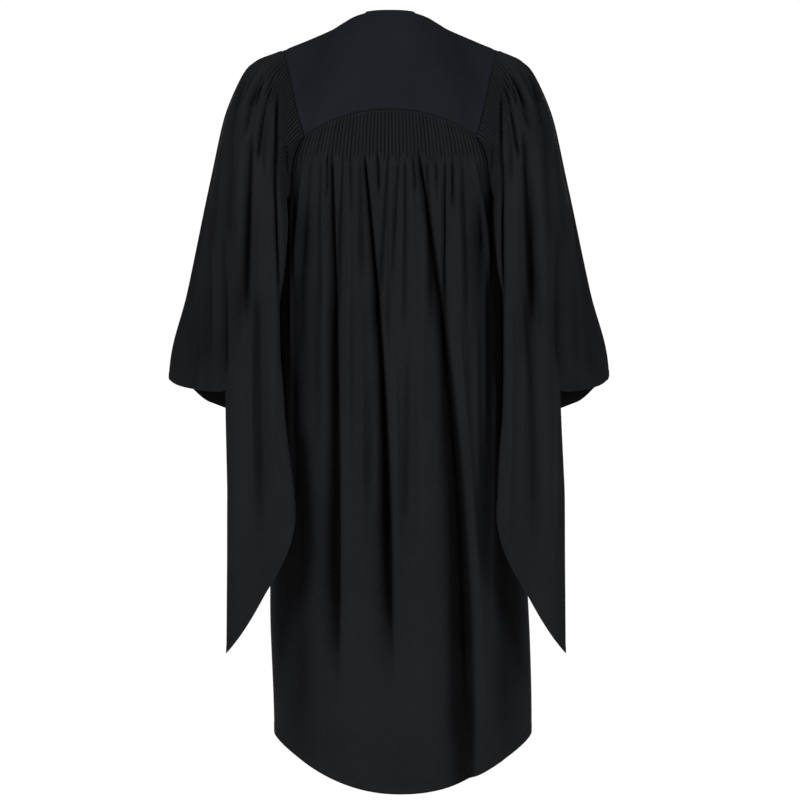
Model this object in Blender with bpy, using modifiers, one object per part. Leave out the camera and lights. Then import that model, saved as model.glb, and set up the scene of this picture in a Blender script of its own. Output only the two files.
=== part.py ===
"""Graduation gown with an open front, pointed sleeves and a pleated back.

The gown hangs from the shoulders of a hollow figure that stands upright.
Metres. +Z is up, -Y is the wearer's back, +X is the wearer's right side.
The origin is midway between the shoulders, level with the base of the neck.
Every panel is an open sheet of cloth that a Solidify modifier makes a wall.
A drop is a height measured downwards from the origin.
"""

import functools
import math

import bmesh
import bpy
import numpy as np

# Cloth and seams
WALL = 0.0012
SEAM_GAP = 0.0003
ARMHOLE_SETBACK = 0.0006
# Ways into a panel from its armhole edge, sideways and up
BESIDE_ARMHOLE = (-0.8, -0.2)
UNDER_ARMHOLE = (-0.6, -0.8)
# How far below a seam the folds begin, and where the cloth settles on its section
SEAM_CALM = 0.035
SEAM_SETTLE = 0.080

# Neck opening and yoke
NECK_HALF_WIDTH = 0.0705
NECK_BACK_DEPTH = 0.072
NECK_BACK_RISE = 0.0205
NECK_SIDE_RISE = 0.0155
YOKE_FRONT_REACH = 0.032
YOKE_CORNER_X = 0.1250
YOKE_CORNER_DROP = 0.166
YOKE_PEAK_DROP = 0.129
YOKE_ARCH_POWER = 2.1

# Flutes, the small round pleats sewn into the yoke and the armholes
BACK_FLUTES = 51
BACK_FLUTE_END_DROP = 0.194
SLEEVE_BACK_FLUTES = 30
SLEEVE_FRONT_FLUTES = 22
SLEEVE_FLUTE_BACK_KEY = 2.45
SLEEVE_FLUTE_FRONT_KEY = 5.9
BACK_FLUTE_HEIGHT = 0.0015
SLEEVE_FLUTE_HEIGHT = 0.0018
SLEEVE_FLUTE_END_LEVEL = 0.70
FLUTE_ROWS = {"share": [0.0, 0.12, 0.60, 1.0], "height": [0.2, 1.0, 1.0, 0.8]}

# Hem
HEM_DROP = 1.120
HEM_SIDE_RISE = 0.077
HEM_POWER = 2.1
FRONT_HEM_RISE = 0.012
FRONT_OPEN_HALF_WIDTH = 0.060
SIDE_SEAM_SETBACK = 0.00015

# Point of the sleeve
POINT_DROP = 0.918
POINT_FOLD_DROP = 0.698
CUFF_DROP = 0.575

# How far the hanging cloth leans to the wearer's right, by its drop
LEAN = {
    "drop": [0.00, 0.30, 0.55, 0.70, 0.85, 1.04, 1.14],
    "shift": [-0.0015, -0.0005, 0.0030, 0.0080, 0.0120, 0.0175, 0.0135],
}
SLEEVE_OUTER_LEAN = -0.0040
SLEEVE_POINT_LEAN = 0.0075

# Horizontal sections of the body of the gown; a higher power is a squarer back
BODY = {
    "drop": [-0.02, 0.03, 0.08, 0.125, 0.166, 0.27, 0.45, 0.70, 0.90, 1.04, 1.14],
    "half_width": [0.146, 0.161, 0.169, 0.173, 0.177, 0.184, 0.181, 0.186, 0.192, 0.191, 0.187],
    "back_depth": [0.088, 0.106, 0.115, 0.121, 0.125, 0.131, 0.136, 0.148, 0.157, 0.162, 0.165],
    "front_depth": [0.035, 0.066, 0.092, 0.104, 0.110, 0.118, 0.122, 0.128, 0.134, 0.138, 0.140],
    "power": [2.4, 2.5, 2.5, 2.6, 2.8, 3.3, 3.6, 3.2, 2.8, 2.6, 2.5],
}

# Armhole, keys round it from the top of the shoulder and first down the back
ARMHOLE = {
    "x": [0.1585, 0.1445, 0.1250, 0.1500, 0.1785, 0.1815, 0.1440, 0.1500],
    "y": [0.0000, -0.0520, -0.1010, -0.1020, -0.0410, 0.0395, 0.0840, 0.0480],
    "drop": [0.0320, 0.0780, 0.1660, 0.2430, 0.2680, 0.2680, 0.1800, 0.0850],
    "lift": [0.0004, 0.0008, 0.0010, 0.0016, 0.0018, 0.0018, 0.0013, 0.0007],
}

# Sections down the left sleeve, on from the armhole; the last two are its point
SLEEVE = {
    "outer_x": [0.2075, 0.2410, 0.2663, 0.2985, 0.3245, 0.3265, 0.3265],
    "outer_drop": [0.055, 0.114, 0.224, 0.389, 0.522, 0.700, 0.930],
    "ridge_x": [0.186, 0.220, 0.236, 0.2405, 0.2425, 0.2440, 0.2455],
    "ridge_y": [-0.098, -0.124, -0.133, -0.136, -0.134, -0.138, -0.142],
    "back_y": [-0.134, -0.156, -0.162, -0.161, -0.157, -0.160, -0.162],
    "fold_x": [0.165, 0.167, 0.166, 0.162, 0.158, 0.146, 0.140],
    "fold_y": [-0.124, -0.148, -0.156, -0.159, -0.159, -0.163, -0.166],
    "under_x": [0.194, 0.200, 0.205, 0.208, 0.210, 0.210, 0.210],
    "under_drop": [0.288, 0.318, 0.372, 0.452, 0.575, 0.700, 0.930],
    "front_y": [0.088, 0.092, 0.090, 0.085, 0.078, 0.078, 0.078],
}
# How far down each key of a sleeve section lies, between its outer and under drops
SLEEVE_KEY_SHARE = [0.0, 0.28, 0.58, 0.90, 1.0, 1.0, 0.75, 0.35]

# Folds of the hanging cloth: a trough has a push below zero and a ridge above it.
# On the body x is measured from its centre line, top and low are its two ends.
BACK_FOLDS = {
    "top_x": [-0.079, -0.015, 0.081, -0.128, -0.110, -0.044, -0.028, 0.009, 0.020, 0.041, 0.055, 0.106, 0.127, 0.150, -0.150, -0.052, 0.019, 0.137],
    "top_drop": [0.20, 0.20, 0.20, 0.19, 0.19, 0.19, 0.19, 0.19, 0.19, 0.19, 0.19, 0.19, 0.19, 0.24, 0.24, 0.30, 0.30, 0.30],
    "low_x": [-0.094, -0.014, 0.094, -0.120, -0.100, -0.046, -0.024, 0.009, 0.020, 0.043, 0.056, 0.108, 0.133, 0.157, -0.152, -0.050, 0.026, 0.128],
    "low_drop": [0.95, 0.93, 1.14, 0.27, 0.36, 0.28, 0.36, 0.28, 0.30, 0.29, 0.38, 0.28, 0.31, 0.62, 0.62, 0.80, 0.80, 0.62],
    "push": [-0.023, -0.023, -0.028, -0.007, -0.010, -0.007, -0.009, -0.006, -0.007, -0.007, -0.010, -0.007, -0.009, -0.012, -0.012, 0.006, 0.005, 0.006],
    "reach": [0.013, 0.012, 0.015, 0.006, 0.007, 0.006, 0.007, 0.006, 0.006, 0.006, 0.007, 0.007, 0.007, 0.010, 0.010, 0.014, 0.012, 0.012],
}
FRONT_FOLDS = {
    "top_x": [0.085, 0.120, 0.150],
    "top_drop": [0.16, 0.22, 0.30],
    "low_x": [0.088, 0.128, 0.160],
    "low_drop": [1.05, 1.05, 1.05],
    "push": [-0.008, -0.009, -0.006],
    "reach": [0.012, 0.012, 0.010],
}
# On the sleeve a fold's place is a key round it and a level down it
SLEEVE_FOLDS = {
    "top_key": [1.62, 2.25, 0.86, 0.60, 3.06, 3.36, 2.35, 6.60],
    "top_level": [1.3, 3.9, 3.2, 1.4, 0.8, 0.8, 1.0, 1.0],
    "low_key": [1.62, 1.88, 0.88, 0.60, 3.02, 3.40, 2.40, 6.60],
    "low_level": [3.4, 6.0, 5.0, 2.6, 3.0, 3.1, 2.0, 4.0],
    "push": [-0.015, -0.012, -0.010, -0.005, -0.007, 0.014, -0.006, -0.010],
    "reach": [0.26, 0.22, 0.16, 0.20, 0.13, 0.20, 0.16, 0.30],
}
FOLD_FADE = 0.035
LEVEL_FADE = 0.5

# Shares of a panel's columns that start on the arch or on the armhole
BACK_LINE_HEM_SHARE = 0.72
FRONT_ARMHOLE_REACH = 0.46
YOKE_FRONT_KEY = 7.38
FRONT_CORNER_KEY = 6.0

# Mesh density
BACK_COLUMNS = 18
BACK_BAND_ROWS = 4
BACK_ROWS = 16
BACK_ARMHOLE_COLUMNS = 11
YOKE_ROWS = 9
FRONT_ARMHOLE_COLUMNS = 8
FRONT_CHEST_COLUMNS = 8
FRONT_ROWS = 13
CHEST_ROWS = 6
SLEEVE_COLUMNS = 40
SLEEVE_PLAIN_COLUMNS = 20
SLEEVE_LEVELS = [1.0, 1.5, 2.0, 2.5, 3.0, 3.45, 3.9, 4.3, 4.65, 5.0]
POINT_ROWS = 8

CLOTH_COLOUR = (0.0152, 0.0160, 0.0182, 1.0)
CLOTH_ROUGHNESS = 0.86


def smooth_value(knots, values, at):
    """Return a table's value at a knot position, on a monotone cubic."""
    count = len(knots)
    at = min(max(at, knots[0]), knots[-1])
    index = min(int(np.searchsorted(knots, at, side="right")) - 1, count - 2)
    steps = [knots[i + 1] - knots[i] for i in range(count - 1)]
    slopes = [(values[i + 1] - values[i]) / steps[i] for i in range(count - 1)]

    def tangent(i):
        if i == 0:
            return slopes[0]
        if i == count - 1:
            return slopes[-1]
        if slopes[i - 1] * slopes[i] <= 0.0:
            return 0.0
        return 2.0 * slopes[i - 1] * slopes[i] / (slopes[i - 1] + slopes[i])

    step = steps[index]
    t = (at - knots[index]) / step
    start = (1 + 2 * t) * (1 - t) ** 2 * values[index]
    end = t * t * (3 - 2 * t) * values[index + 1]
    bend_start = t * (1 - t) ** 2 * step * tangent(index)
    bend_end = t * t * (t - 1) * step * tangent(index + 1)
    return start + end + bend_start + bend_end


def lookup(table, column, at):
    """Return a column of a table whose first column is drop."""
    return smooth_value(table["drop"], table[column], at)


def loop_value(values, at):
    """Return a value on the closed smooth curve through keys at whole numbers."""
    count = len(values)
    index = math.floor(at)
    t = at - index
    a, b, c, d = (values[(index + k) % count] for k in (-1, 0, 1, 2))
    bend = 2 * a - 5 * b + 4 * c - d
    twist = 3 * b - a - 3 * c + d
    return 0.5 * (2 * b + (c - a) * t + bend * t * t + twist * t ** 3)


def ease(t):
    """Return a share from 0 to 1 with a soft start and end."""
    t = min(max(t, 0.0), 1.0)
    return t * t * (3 - 2 * t)


def mix(a, b, t):
    """Return the value a share t of the way from a to b."""
    return a + (b - a) * t


def unit(vector):
    """Return a vector with the length one."""
    return vector / np.linalg.norm(vector)


@functools.lru_cache(maxsize=None)
def half_section(drop, side):
    """Return x, y and arc shares of half a body section, from its centre line.

    side is "back" or "front". The share is 0 at the centre and 1 at the side seam.
    """
    half_width = lookup(BODY, "half_width", drop)
    depth = lookup(BODY, side + "_depth", drop)
    angle = np.linspace(0.0, math.pi / 2, 61)
    power = 2.0 / lookup(BODY, "power", drop)
    x = half_width * np.sin(angle) ** power
    y = depth * np.cos(angle) ** power
    y[-1] = 0.0
    arc = np.concatenate([[0.0], np.cumsum(np.hypot(np.diff(x), np.diff(y)))])
    if side == "back":
        y = -y
    return x, y, arc / arc[-1], arc[-1]


def lean_at(drop):
    """Return how far the cloth at a drop leans to the wearer's right."""
    return lookup(LEAN, "shift", drop)


def body_point(share, drop, side, push=0.0):
    """Return a point of the body, with share from -1 to 1 across its back or front."""
    x, y, arc, _ = half_section(round(drop, 5), side)
    at = min(abs(share), 1.0)
    sign = -1.0 if share < 0 else 1.0
    px = float(np.interp(at, arc, x))
    py = float(np.interp(at, arc, y))
    low = max(at - 0.03, 0.0)
    high = min(at + 0.03, 1.0)
    dx = float(np.interp(high, arc, x) - np.interp(low, arc, x))
    dy = float(np.interp(high, arc, y) - np.interp(low, arc, y))
    if at > 0.97:
        dx = 0.0
        dy = 1.0 if side == "back" else -1.0
    normal = np.array([abs(dy), -abs(dx)]) if side == "back" else np.array([abs(dy), abs(dx)])
    normal = normal / np.hypot(*normal)
    x_out = sign * (px + push * normal[0]) + lean_at(drop)
    return np.array([x_out, py + push * normal[1], -drop])


def share_of_x(x, drop, side):
    """Return the share across a body section at which it has a given half width."""
    xs, _, arc, _ = half_section(round(drop, 5), side)
    return float(np.interp(abs(x), xs, arc)) * (-1.0 if x < 0 else 1.0)


def fold_push(table, x, drop):
    """Return how far the folds of a table move the cloth in or out at a place."""
    total = 0.0
    for i in range(len(table["push"])):
        top = table["top_drop"][i]
        low = table["low_drop"][i]
        if drop < top - FOLD_FADE or drop > low + FOLD_FADE:
            continue
        t = min(max((drop - top) / (low - top), 0.0), 1.0)
        centre = mix(table["top_x"][i], table["low_x"][i], t)
        fade = ease((drop - top + FOLD_FADE) / (2 * FOLD_FADE))
        fade *= ease((low + FOLD_FADE - drop) / (2 * FOLD_FADE))
        total += table["push"][i] * fade * math.exp(-(((x - centre) / table["reach"][i]) ** 2))
    return total


def armhole_point(key, side):
    """Return the point of the armhole seam at a key, for side -1 or +1.

    Beside the yoke's corner the seam lies on the sections of the body.
    """
    drop = loop_value(ARMHOLE["drop"], key)
    x = loop_value(ARMHOLE["x"], key)
    y = loop_value(ARMHOLE["y"], key)
    on_body = ease((key - 1.2) / 0.8) * ease((4.0 - key) / 1.0)
    if on_body > 0.0:
        surface = body_point(share_of_x(x, drop, "back"), drop, "back")
        y = mix(y, surface[1], on_body)
    return np.array([side * x + lean_at(drop), y, -drop])


def armhole_steps(start, end, count):
    """Return keys at equal distances along the armhole, from start up to end."""
    keys = np.linspace(start, end, 200)
    points = np.array([armhole_point(key, 1) for key in keys])
    arc = np.concatenate([[0.0], np.cumsum(np.linalg.norm(np.diff(points, axis=0), axis=1))])
    return [float(k) for k in np.interp(np.linspace(0.0, arc[-1], count + 1), arc, keys)]


def arch_drop(x):
    """Return the drop of the yoke's arched seam at a distance from the centre."""
    rise = YOKE_CORNER_DROP - YOKE_PEAK_DROP
    return YOKE_PEAK_DROP + rise * min(abs(x) / YOKE_CORNER_X, 1.0) ** YOKE_ARCH_POWER


def arch_point(x):
    """Return the point of the arched seam at a distance from the centre."""
    drop = arch_drop(x)
    corner = armhole_point(2.0, 1)
    surface = body_point(share_of_x(x, drop, "back"), drop, "back")
    reach = abs(x) / YOKE_CORNER_X
    corner_shift = corner[1] - body_point(
        share_of_x(YOKE_CORNER_X, YOKE_CORNER_DROP, "back"), YOKE_CORNER_DROP, "back"
    )[1]
    surface[1] += corner_shift * reach ** 4
    return surface


def neck_point(angle):
    """Return the point of the neckline at an angle from the centre of the back."""
    rise = mix(NECK_BACK_RISE, NECK_SIDE_RISE, abs(math.sin(angle)) ** 4)
    forward = max(-math.cos(angle), 0.0)
    x = NECK_HALF_WIDTH * math.sin(angle) + lean_at(0.0)
    return np.array([x, -NECK_BACK_DEPTH * math.cos(angle), rise - 0.02 * forward])


def yoke_edges(t):
    """Return a yoke column's neck point, outer point and their directions.

    t runs from -1 at the left front, through 0 at the centre back, to +1.
    """
    side = -1.0 if t < 0 else 1.0
    reach = abs(t)
    if reach < 0.5:
        angle = mix(0.0, math.radians(52), reach / 0.5)
        outer = arch_point(side * YOKE_CORNER_X * reach / 0.5)
        low = np.array([side * 0.45 * reach / 0.5, -0.06, -1.0])
    elif reach < 0.88:
        share = (reach - 0.5) / 0.38
        angle = mix(math.radians(52), math.radians(90), share)
        outer = armhole_point(2.0 * (1 - share), side)
        low = mix(np.array([side * 0.45, -0.06, -1.0]), np.array([side * 1.0, 0.0, -0.45]), share)
    else:
        share = (reach - 0.88) / 0.12
        angle = math.radians(90) + math.asin(YOKE_FRONT_REACH * 0.85 / NECK_BACK_DEPTH) * share
        outer = armhole_point(mix(8.0, YOKE_FRONT_KEY, share), side)
        low = np.array([side * 1.0, 0.1 * share, -0.5])
    near = neck_point(side * angle)
    slope = mix(-0.9, -0.5, math.sin(min(angle, math.pi / 2)))
    start = np.array([side * math.sin(angle), -math.cos(angle) * 0.8, slope])
    return near, outer, unit(start), unit(low)


def yoke_point(t, across):
    """Return a point of the yoke; across is 0 at the neckline and 1 at the outer seam."""
    near, outer, start, low = yoke_edges(t)
    length = np.linalg.norm(outer - near)
    first = near + start * length * 0.36
    second = outer - low * length * 0.36
    k = 1 - across
    return (k ** 3) * near + 3 * k * k * across * first + 3 * k * across * across * second + across ** 3 * outer


def hem_drop(share):
    """Return the drop of the back hem at a share across the back."""
    x = body_point(share, HEM_DROP, "back")[0] - lean_at(HEM_DROP)
    wide = abs(x) / lookup(BODY, "half_width", HEM_DROP)
    return HEM_DROP - HEM_SIDE_RISE * wide ** HEM_POWER


def panel_point(top, top_share, hem_share, drop, end, side, folds):
    """Return a point of a body panel on the column from a seam point to the hem.

    The column leaves its seam point and settles on the body's sections.
    """
    top_drop = -top[2]
    share = mix(top_share, hem_share, spread_at((drop - top_drop) / (end - top_drop)))
    base = body_point(share, drop, side)
    x = base[0] - lean_at(drop)
    push = fold_push(folds, x if side == "back" else abs(x), drop)
    push *= ease((drop - top_drop) / SEAM_CALM)
    point = body_point(share, drop, side, push)
    shift = top - body_point(top_share, top_drop, side)
    return point + shift * (1 - ease((drop - top_drop) / SEAM_SETTLE))


def spread_at(down):
    """Return how far a column has spread to its place at the hem, a share down it."""
    return 1 - (1 - min(max(down, 0.0), 1.0)) ** 1.4


@functools.lru_cache(maxsize=None)
def armhole_key(drop):
    """Return the key beside the yoke's corner at which the armhole reaches a drop."""
    low = 2.0
    high = 3.0
    for _ in range(30):
        middle = (low + high) / 2
        if loop_value(ARMHOLE["drop"], middle) < drop:
            low = middle
        else:
            high = middle
    return low


def back_point(v, fall):
    """Return a point of the back.

    v is 1 on the line that follows the armhole down from the yoke's corner and then
    falls to the hem, and 2 at the side seam. fall is 0 at the yoke, 1 where the
    flutes end, 2 where that line leaves the armhole and 3 at the hem.
    """
    side = -1.0 if v < 0 else 1.0
    reach = abs(v)
    turn = armhole_point(3.0, side)
    turn_drop = -turn[2]
    if reach > 1.0:
        top = armhole_point(mix(3.0, 4.5, reach - 1.0), side)
        hem_share = mix(BACK_LINE_HEM_SHARE, 1.0, reach - 1.0)
        top_share = abs(share_of_x(top[0] - lean_at(-top[2]), -top[2], "back"))
        top_share = mix(top_share, 1.0, (reach - 1.0) ** 3)
        end = hem_drop(hem_share)
        drop = mix(-top[2], end, fall - 2.0)
        return panel_point(top, side * top_share, side * hem_share, drop, end, "back", BACK_FOLDS)
    arch = arch_drop(reach * YOKE_CORNER_X)
    if fall <= 1.0:
        line = mix(YOKE_CORNER_DROP, BACK_FLUTE_END_DROP, fall)
        drop = mix(arch, BACK_FLUTE_END_DROP, fall)
    else:
        line = mix(BACK_FLUTE_END_DROP, turn_drop, min(fall, 2.0) - 1.0)
        drop = line
    edge = loop_value(ARMHOLE["x"], armhole_key(line))
    share = side * share_of_x(reach * edge, drop, "back")
    if fall > 2.0:
        hem_share = reach * BACK_LINE_HEM_SHARE
        drop = mix(turn_drop, hem_drop(hem_share), fall - 2.0)
        share = mix(share, side * hem_share, spread_at(fall - 2.0))
    x = body_point(share, drop, "back")[0] - lean_at(drop)
    beside = ease((reach - 0.8) / 0.2)
    push = fold_push(BACK_FOLDS, x, drop) * ease((drop - arch) / SEAM_CALM)
    push *= mix(1.0, ease((drop - turn_drop) / SEAM_CALM), beside)
    return body_point(share, drop, "back", push)


def front_share(u, drop):
    """Return the share across the front of a column inside the armhole."""
    along = (u - FRONT_ARMHOLE_REACH) / (1 - FRONT_ARMHOLE_REACH)
    wide = armhole_point(FRONT_CORNER_KEY, 1)[0] - lean_at(drop)
    corner = share_of_x(wide, drop, "front")
    return mix(corner, share_of_x(FRONT_OPEN_HALF_WIDTH, drop, "front"), along)


def front_point(u, level, side):
    """Return a point of a front below the chest; level is 1 at the hem.

    u runs from 0 at the side seam to 1 at the open front edge. At level 0 the
    outer columns meet the armhole and the others cross the chest beside it.
    """
    chest_drop = -armhole_point(FRONT_CORNER_KEY, side)[2]
    if u < FRONT_ARMHOLE_REACH:
        along = u / FRONT_ARMHOLE_REACH
        top = armhole_point(mix(4.5, FRONT_CORNER_KEY, along), side)
        share = abs(share_of_x(top[0] - lean_at(-top[2]), -top[2], "front"))
        share = mix(share, 1.0, (1 - along) ** 3)
    else:
        share = front_share(u, chest_drop)
        top = body_point(side * share, chest_drop, "front")
    end = HEM_DROP - HEM_SIDE_RISE - FRONT_HEM_RISE * ease(u)
    open_share = share_of_x(FRONT_OPEN_HALF_WIDTH, end, "front")
    hem_share = mix(1.0, open_share, u)
    drop = mix(-top[2], end, level)
    return panel_point(top, side * share, side * hem_share, drop, end, "front", FRONT_FOLDS)


def chest_point(u, level, side):
    """Return a point of a front between the yoke, at level 0, and the chest, at 1."""
    across = (1 - u) / (1 - FRONT_ARMHOLE_REACH)
    top = yoke_point(side, across)
    low = front_point(u, 0.0, side)
    if across > 0.999:
        return armhole_point(mix(YOKE_FRONT_KEY, FRONT_CORNER_KEY, level), side)
    length = np.linalg.norm(low - top)
    first = top + np.array([0.0, 0.28, -0.20]) * length
    second = low + np.array([0.0, 0.0, 0.34]) * length
    k = 1 - level
    return (k ** 3) * top + 3 * k * k * level * first + 3 * k * level * level * second + level ** 3 * low


def sleeve_keys(level):
    """Return the eight keys of a sleeve section, x measured from the centre line."""
    row = {name: values[level] for name, values in SLEEVE.items()}
    xs = [
        row["outer_x"],
        row["ridge_x"],
        mix(row["ridge_x"], row["fold_x"], 0.52),
        row["fold_x"],
        row["under_x"],
        row["under_x"] + 0.004,
        mix(row["under_x"], row["outer_x"], 0.42),
        mix(row["under_x"], row["outer_x"], 0.86),
    ]
    ys = [
        -0.004,
        row["ridge_y"],
        row["back_y"],
        row["fold_y"],
        -0.050,
        0.030,
        row["front_y"],
        row["front_y"] * 0.72,
    ]
    drops = [mix(row["outer_drop"], row["under_drop"], share) for share in SLEEVE_KEY_SHARE]
    return xs, ys, drops


SLEEVE_KEYS = [(ARMHOLE["x"], ARMHOLE["y"], ARMHOLE["drop"])] + [
    sleeve_keys(level) for level in range(len(SLEEVE["outer_x"]))
]


def sleeve_base(key, level, side):
    """Return a point of a sleeve without its folds; level 0 is the armhole and 5 the cuff."""
    knots = list(range(len(SLEEVE_KEYS)))
    values = []
    for axis in range(3):
        ring = [loop_value(SLEEVE_KEYS[k][axis], key) for k in knots]
        values.append(smooth_value(knots, ring, level))
    x, y, drop = values
    on_seam = 1 - ease(level / 0.9)
    if on_seam > 0.0:
        y += on_seam * (armhole_point(key % 8, side)[1] - loop_value(ARMHOLE["y"], key))
    outer_turn = abs(((key + 4) % 8) - 4)
    outer_lean = mix(lean_at(0.0), SLEEVE_OUTER_LEAN, ease(level))
    lean = mix(outer_lean, min(lean_at(drop), SLEEVE_POINT_LEAN), ease(outer_turn))
    return np.array([side * x + lean, y, -drop])


def sleeve_push(key, level):
    """Return how far the folds of a sleeve move the cloth in or out at a place."""
    total = 0.0
    for i in range(len(SLEEVE_FOLDS["push"])):
        top = SLEEVE_FOLDS["top_level"][i]
        low = SLEEVE_FOLDS["low_level"][i]
        t = min(max((level - top) / (low - top), 0.0), 1.0)
        centre = mix(SLEEVE_FOLDS["top_key"][i], SLEEVE_FOLDS["low_key"][i], t)
        fade = ease((level - top + LEVEL_FADE) / (2 * LEVEL_FADE))
        fade *= ease((low + LEVEL_FADE - level) / (2 * LEVEL_FADE))
        away = (key - centre) / SLEEVE_FOLDS["reach"][i]
        total += SLEEVE_FOLDS["push"][i] * fade * math.exp(-away * away)
    return total


def sleeve_frame(key, level, side):
    """Return a sleeve point with its outward normal and its downward direction."""
    point = sleeve_base(key, level, side)
    along = sleeve_base(key, level + 0.04, side) - sleeve_base(key, max(level - 0.04, 0.0), side)
    around = sleeve_base(key + 0.05, level, side) - sleeve_base(key - 0.05, level, side)
    normal = unit(np.cross(around, along)) * side
    return point, normal, unit(along)


def sleeve_point(key, level, side, flute=0.0):
    """Return a point of a sleeve, with its folds and a flute pushed outwards."""
    point, normal, along = sleeve_frame(key, level, side)
    turn = key % 8
    point = point + normal * (sleeve_push(turn, level) + flute)
    if level < 0.2:
        under = ease(1.4 - abs(turn - 4.5) / 1.3)
        away = unit(mix(along, np.array([side, 0.0, 0.0]), under))
        point = point + away * loop_value(ARMHOLE["lift"], key) * (1 - level / 0.2)
    return point


def point_end(key):
    """Return how far down the sleeve's hem lies at a key from 1 to 4."""
    if key <= 3.0:
        share = (key - 1.0) / 2.0
        return mix(POINT_DROP, POINT_FOLD_DROP, 0.7 * share + 0.3 * share ** 4)
    return mix(POINT_FOLD_DROP, CUFF_DROP, ease(key - 3.0))


def level_of_drop(key, drop, side):
    """Return the level below the cuff at which a sleeve column reaches a drop."""
    low = 5.0
    high = 7.0
    for _ in range(30):
        middle = (low + high) / 2
        if -sleeve_base(key, middle, side)[2] < drop:
            low = middle
        else:
            high = middle
    return low


class Sheet:
    """An open mesh of cloth, built row by row."""

    def __init__(self):
        self.mesh = bmesh.new()

    def row(self, points, places):
        """Add a row of points with their places across it."""
        return [self.mesh.verts.new([float(c) for c in p]) for p in points], list(places)

    def face(self, *corners):
        """Add a face, leaving out corners that are the same point."""
        kept = []
        for corner in corners:
            if corner not in kept:
                kept.append(corner)
        if len(kept) > 2:
            self.mesh.faces.new(kept)

    def join(self, upper, lower, closed=False):
        """Join two rows with quads, or with triangles where their counts differ."""
        top, top_at = upper
        low, low_at = lower
        if closed:
            top, top_at = top + top[:1], top_at + [top_at[0] + 8.0]
            low, low_at = low + low[:1], low_at + [low_at[0] + 8.0]
        if len(top) == len(low):
            for i in range(len(top) - 1):
                self.face(top[i], low[i], low[i + 1], top[i + 1])
            return
        i = 0
        j = 0
        while i < len(top) - 1 or j < len(low) - 1:
            take_top = j == len(low) - 1 or (
                i < len(top) - 1 and top_at[i + 1] <= low_at[j + 1]
            )
            if take_top:
                self.face(top[i], low[j], top[i + 1])
                i += 1
            else:
                self.face(top[i], low[j], low[j + 1])
                j += 1

    def finish(self, name, collection):
        """Turn the sheet into a named object whose Solidify modifier is the wall."""
        bmesh.ops.recalc_face_normals(self.mesh, faces=self.mesh.faces[:])
        data = bpy.data.meshes.new(name)
        self.mesh.to_mesh(data)
        self.mesh.free()
        for polygon in data.polygons:
            polygon.use_smooth = True
        obj = bpy.data.objects.new(name, data)
        collection.objects.link(obj)
        wall = obj.modifiers.new("wall", "SOLIDIFY")
        wall.thickness = WALL
        wall.offset = 0.0
        wall.use_even_offset = True
        wall.use_rim = True
        data.materials.append(cloth_material(name))
        return obj


def cloth_material(name):
    """Return the dull black cloth of one panel."""
    material = bpy.data.materials.new(name + "_cloth")
    material.use_nodes = True
    shader = material.node_tree.nodes["Principled BSDF"]
    shader.inputs["Base Color"].default_value = CLOTH_COLOUR
    shader.inputs["Roughness"].default_value = CLOTH_ROUGHNESS
    shader.inputs["Metallic"].default_value = 0.0
    material.diffuse_color = CLOTH_COLOUR
    return material


def yoke_places(arch, armhole, front):
    """Return places across the yoke, with counts for its arch, armhole and front."""
    half = [0.5 * i / arch for i in range(arch)]
    half += [mix(0.5, 0.88, i / armhole) for i in range(armhole)]
    half += [mix(0.88, 1.0, i / front) for i in range(front + 1)]
    return [-t for t in reversed(half[1:])] + half


def build_yoke(collection):
    """Build the yoke, over both shoulders to just in front of their ridge."""
    sheet = Sheet()
    rows = []
    for r in range(YOKE_ROWS + 1):
        seam_row = r >= YOKE_ROWS - 1
        places = yoke_places(26, 15, 3) if seam_row else yoke_places(5, 5, 2)
        across = min(r / (YOKE_ROWS - 1), 1.0)
        if r == YOKE_ROWS - 1:
            across = mix(1.0, (r - 1) / (YOKE_ROWS - 1), 0.3)
        points = []
        for t in places:
            near, outer, _, _ = yoke_edges(t)
            length = np.linalg.norm(outer - near)
            set_back = mix(SEAM_GAP / 2, SEAM_GAP, ease((abs(t) - 0.4) / 0.08))
            points.append(yoke_point(t, across * (1 - set_back / length)))
        rows.append(sheet.row(points, places))
    for upper, lower in zip(rows, rows[1:]):
        sheet.join(upper, lower)
    return sheet.finish("yoke", collection)


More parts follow.
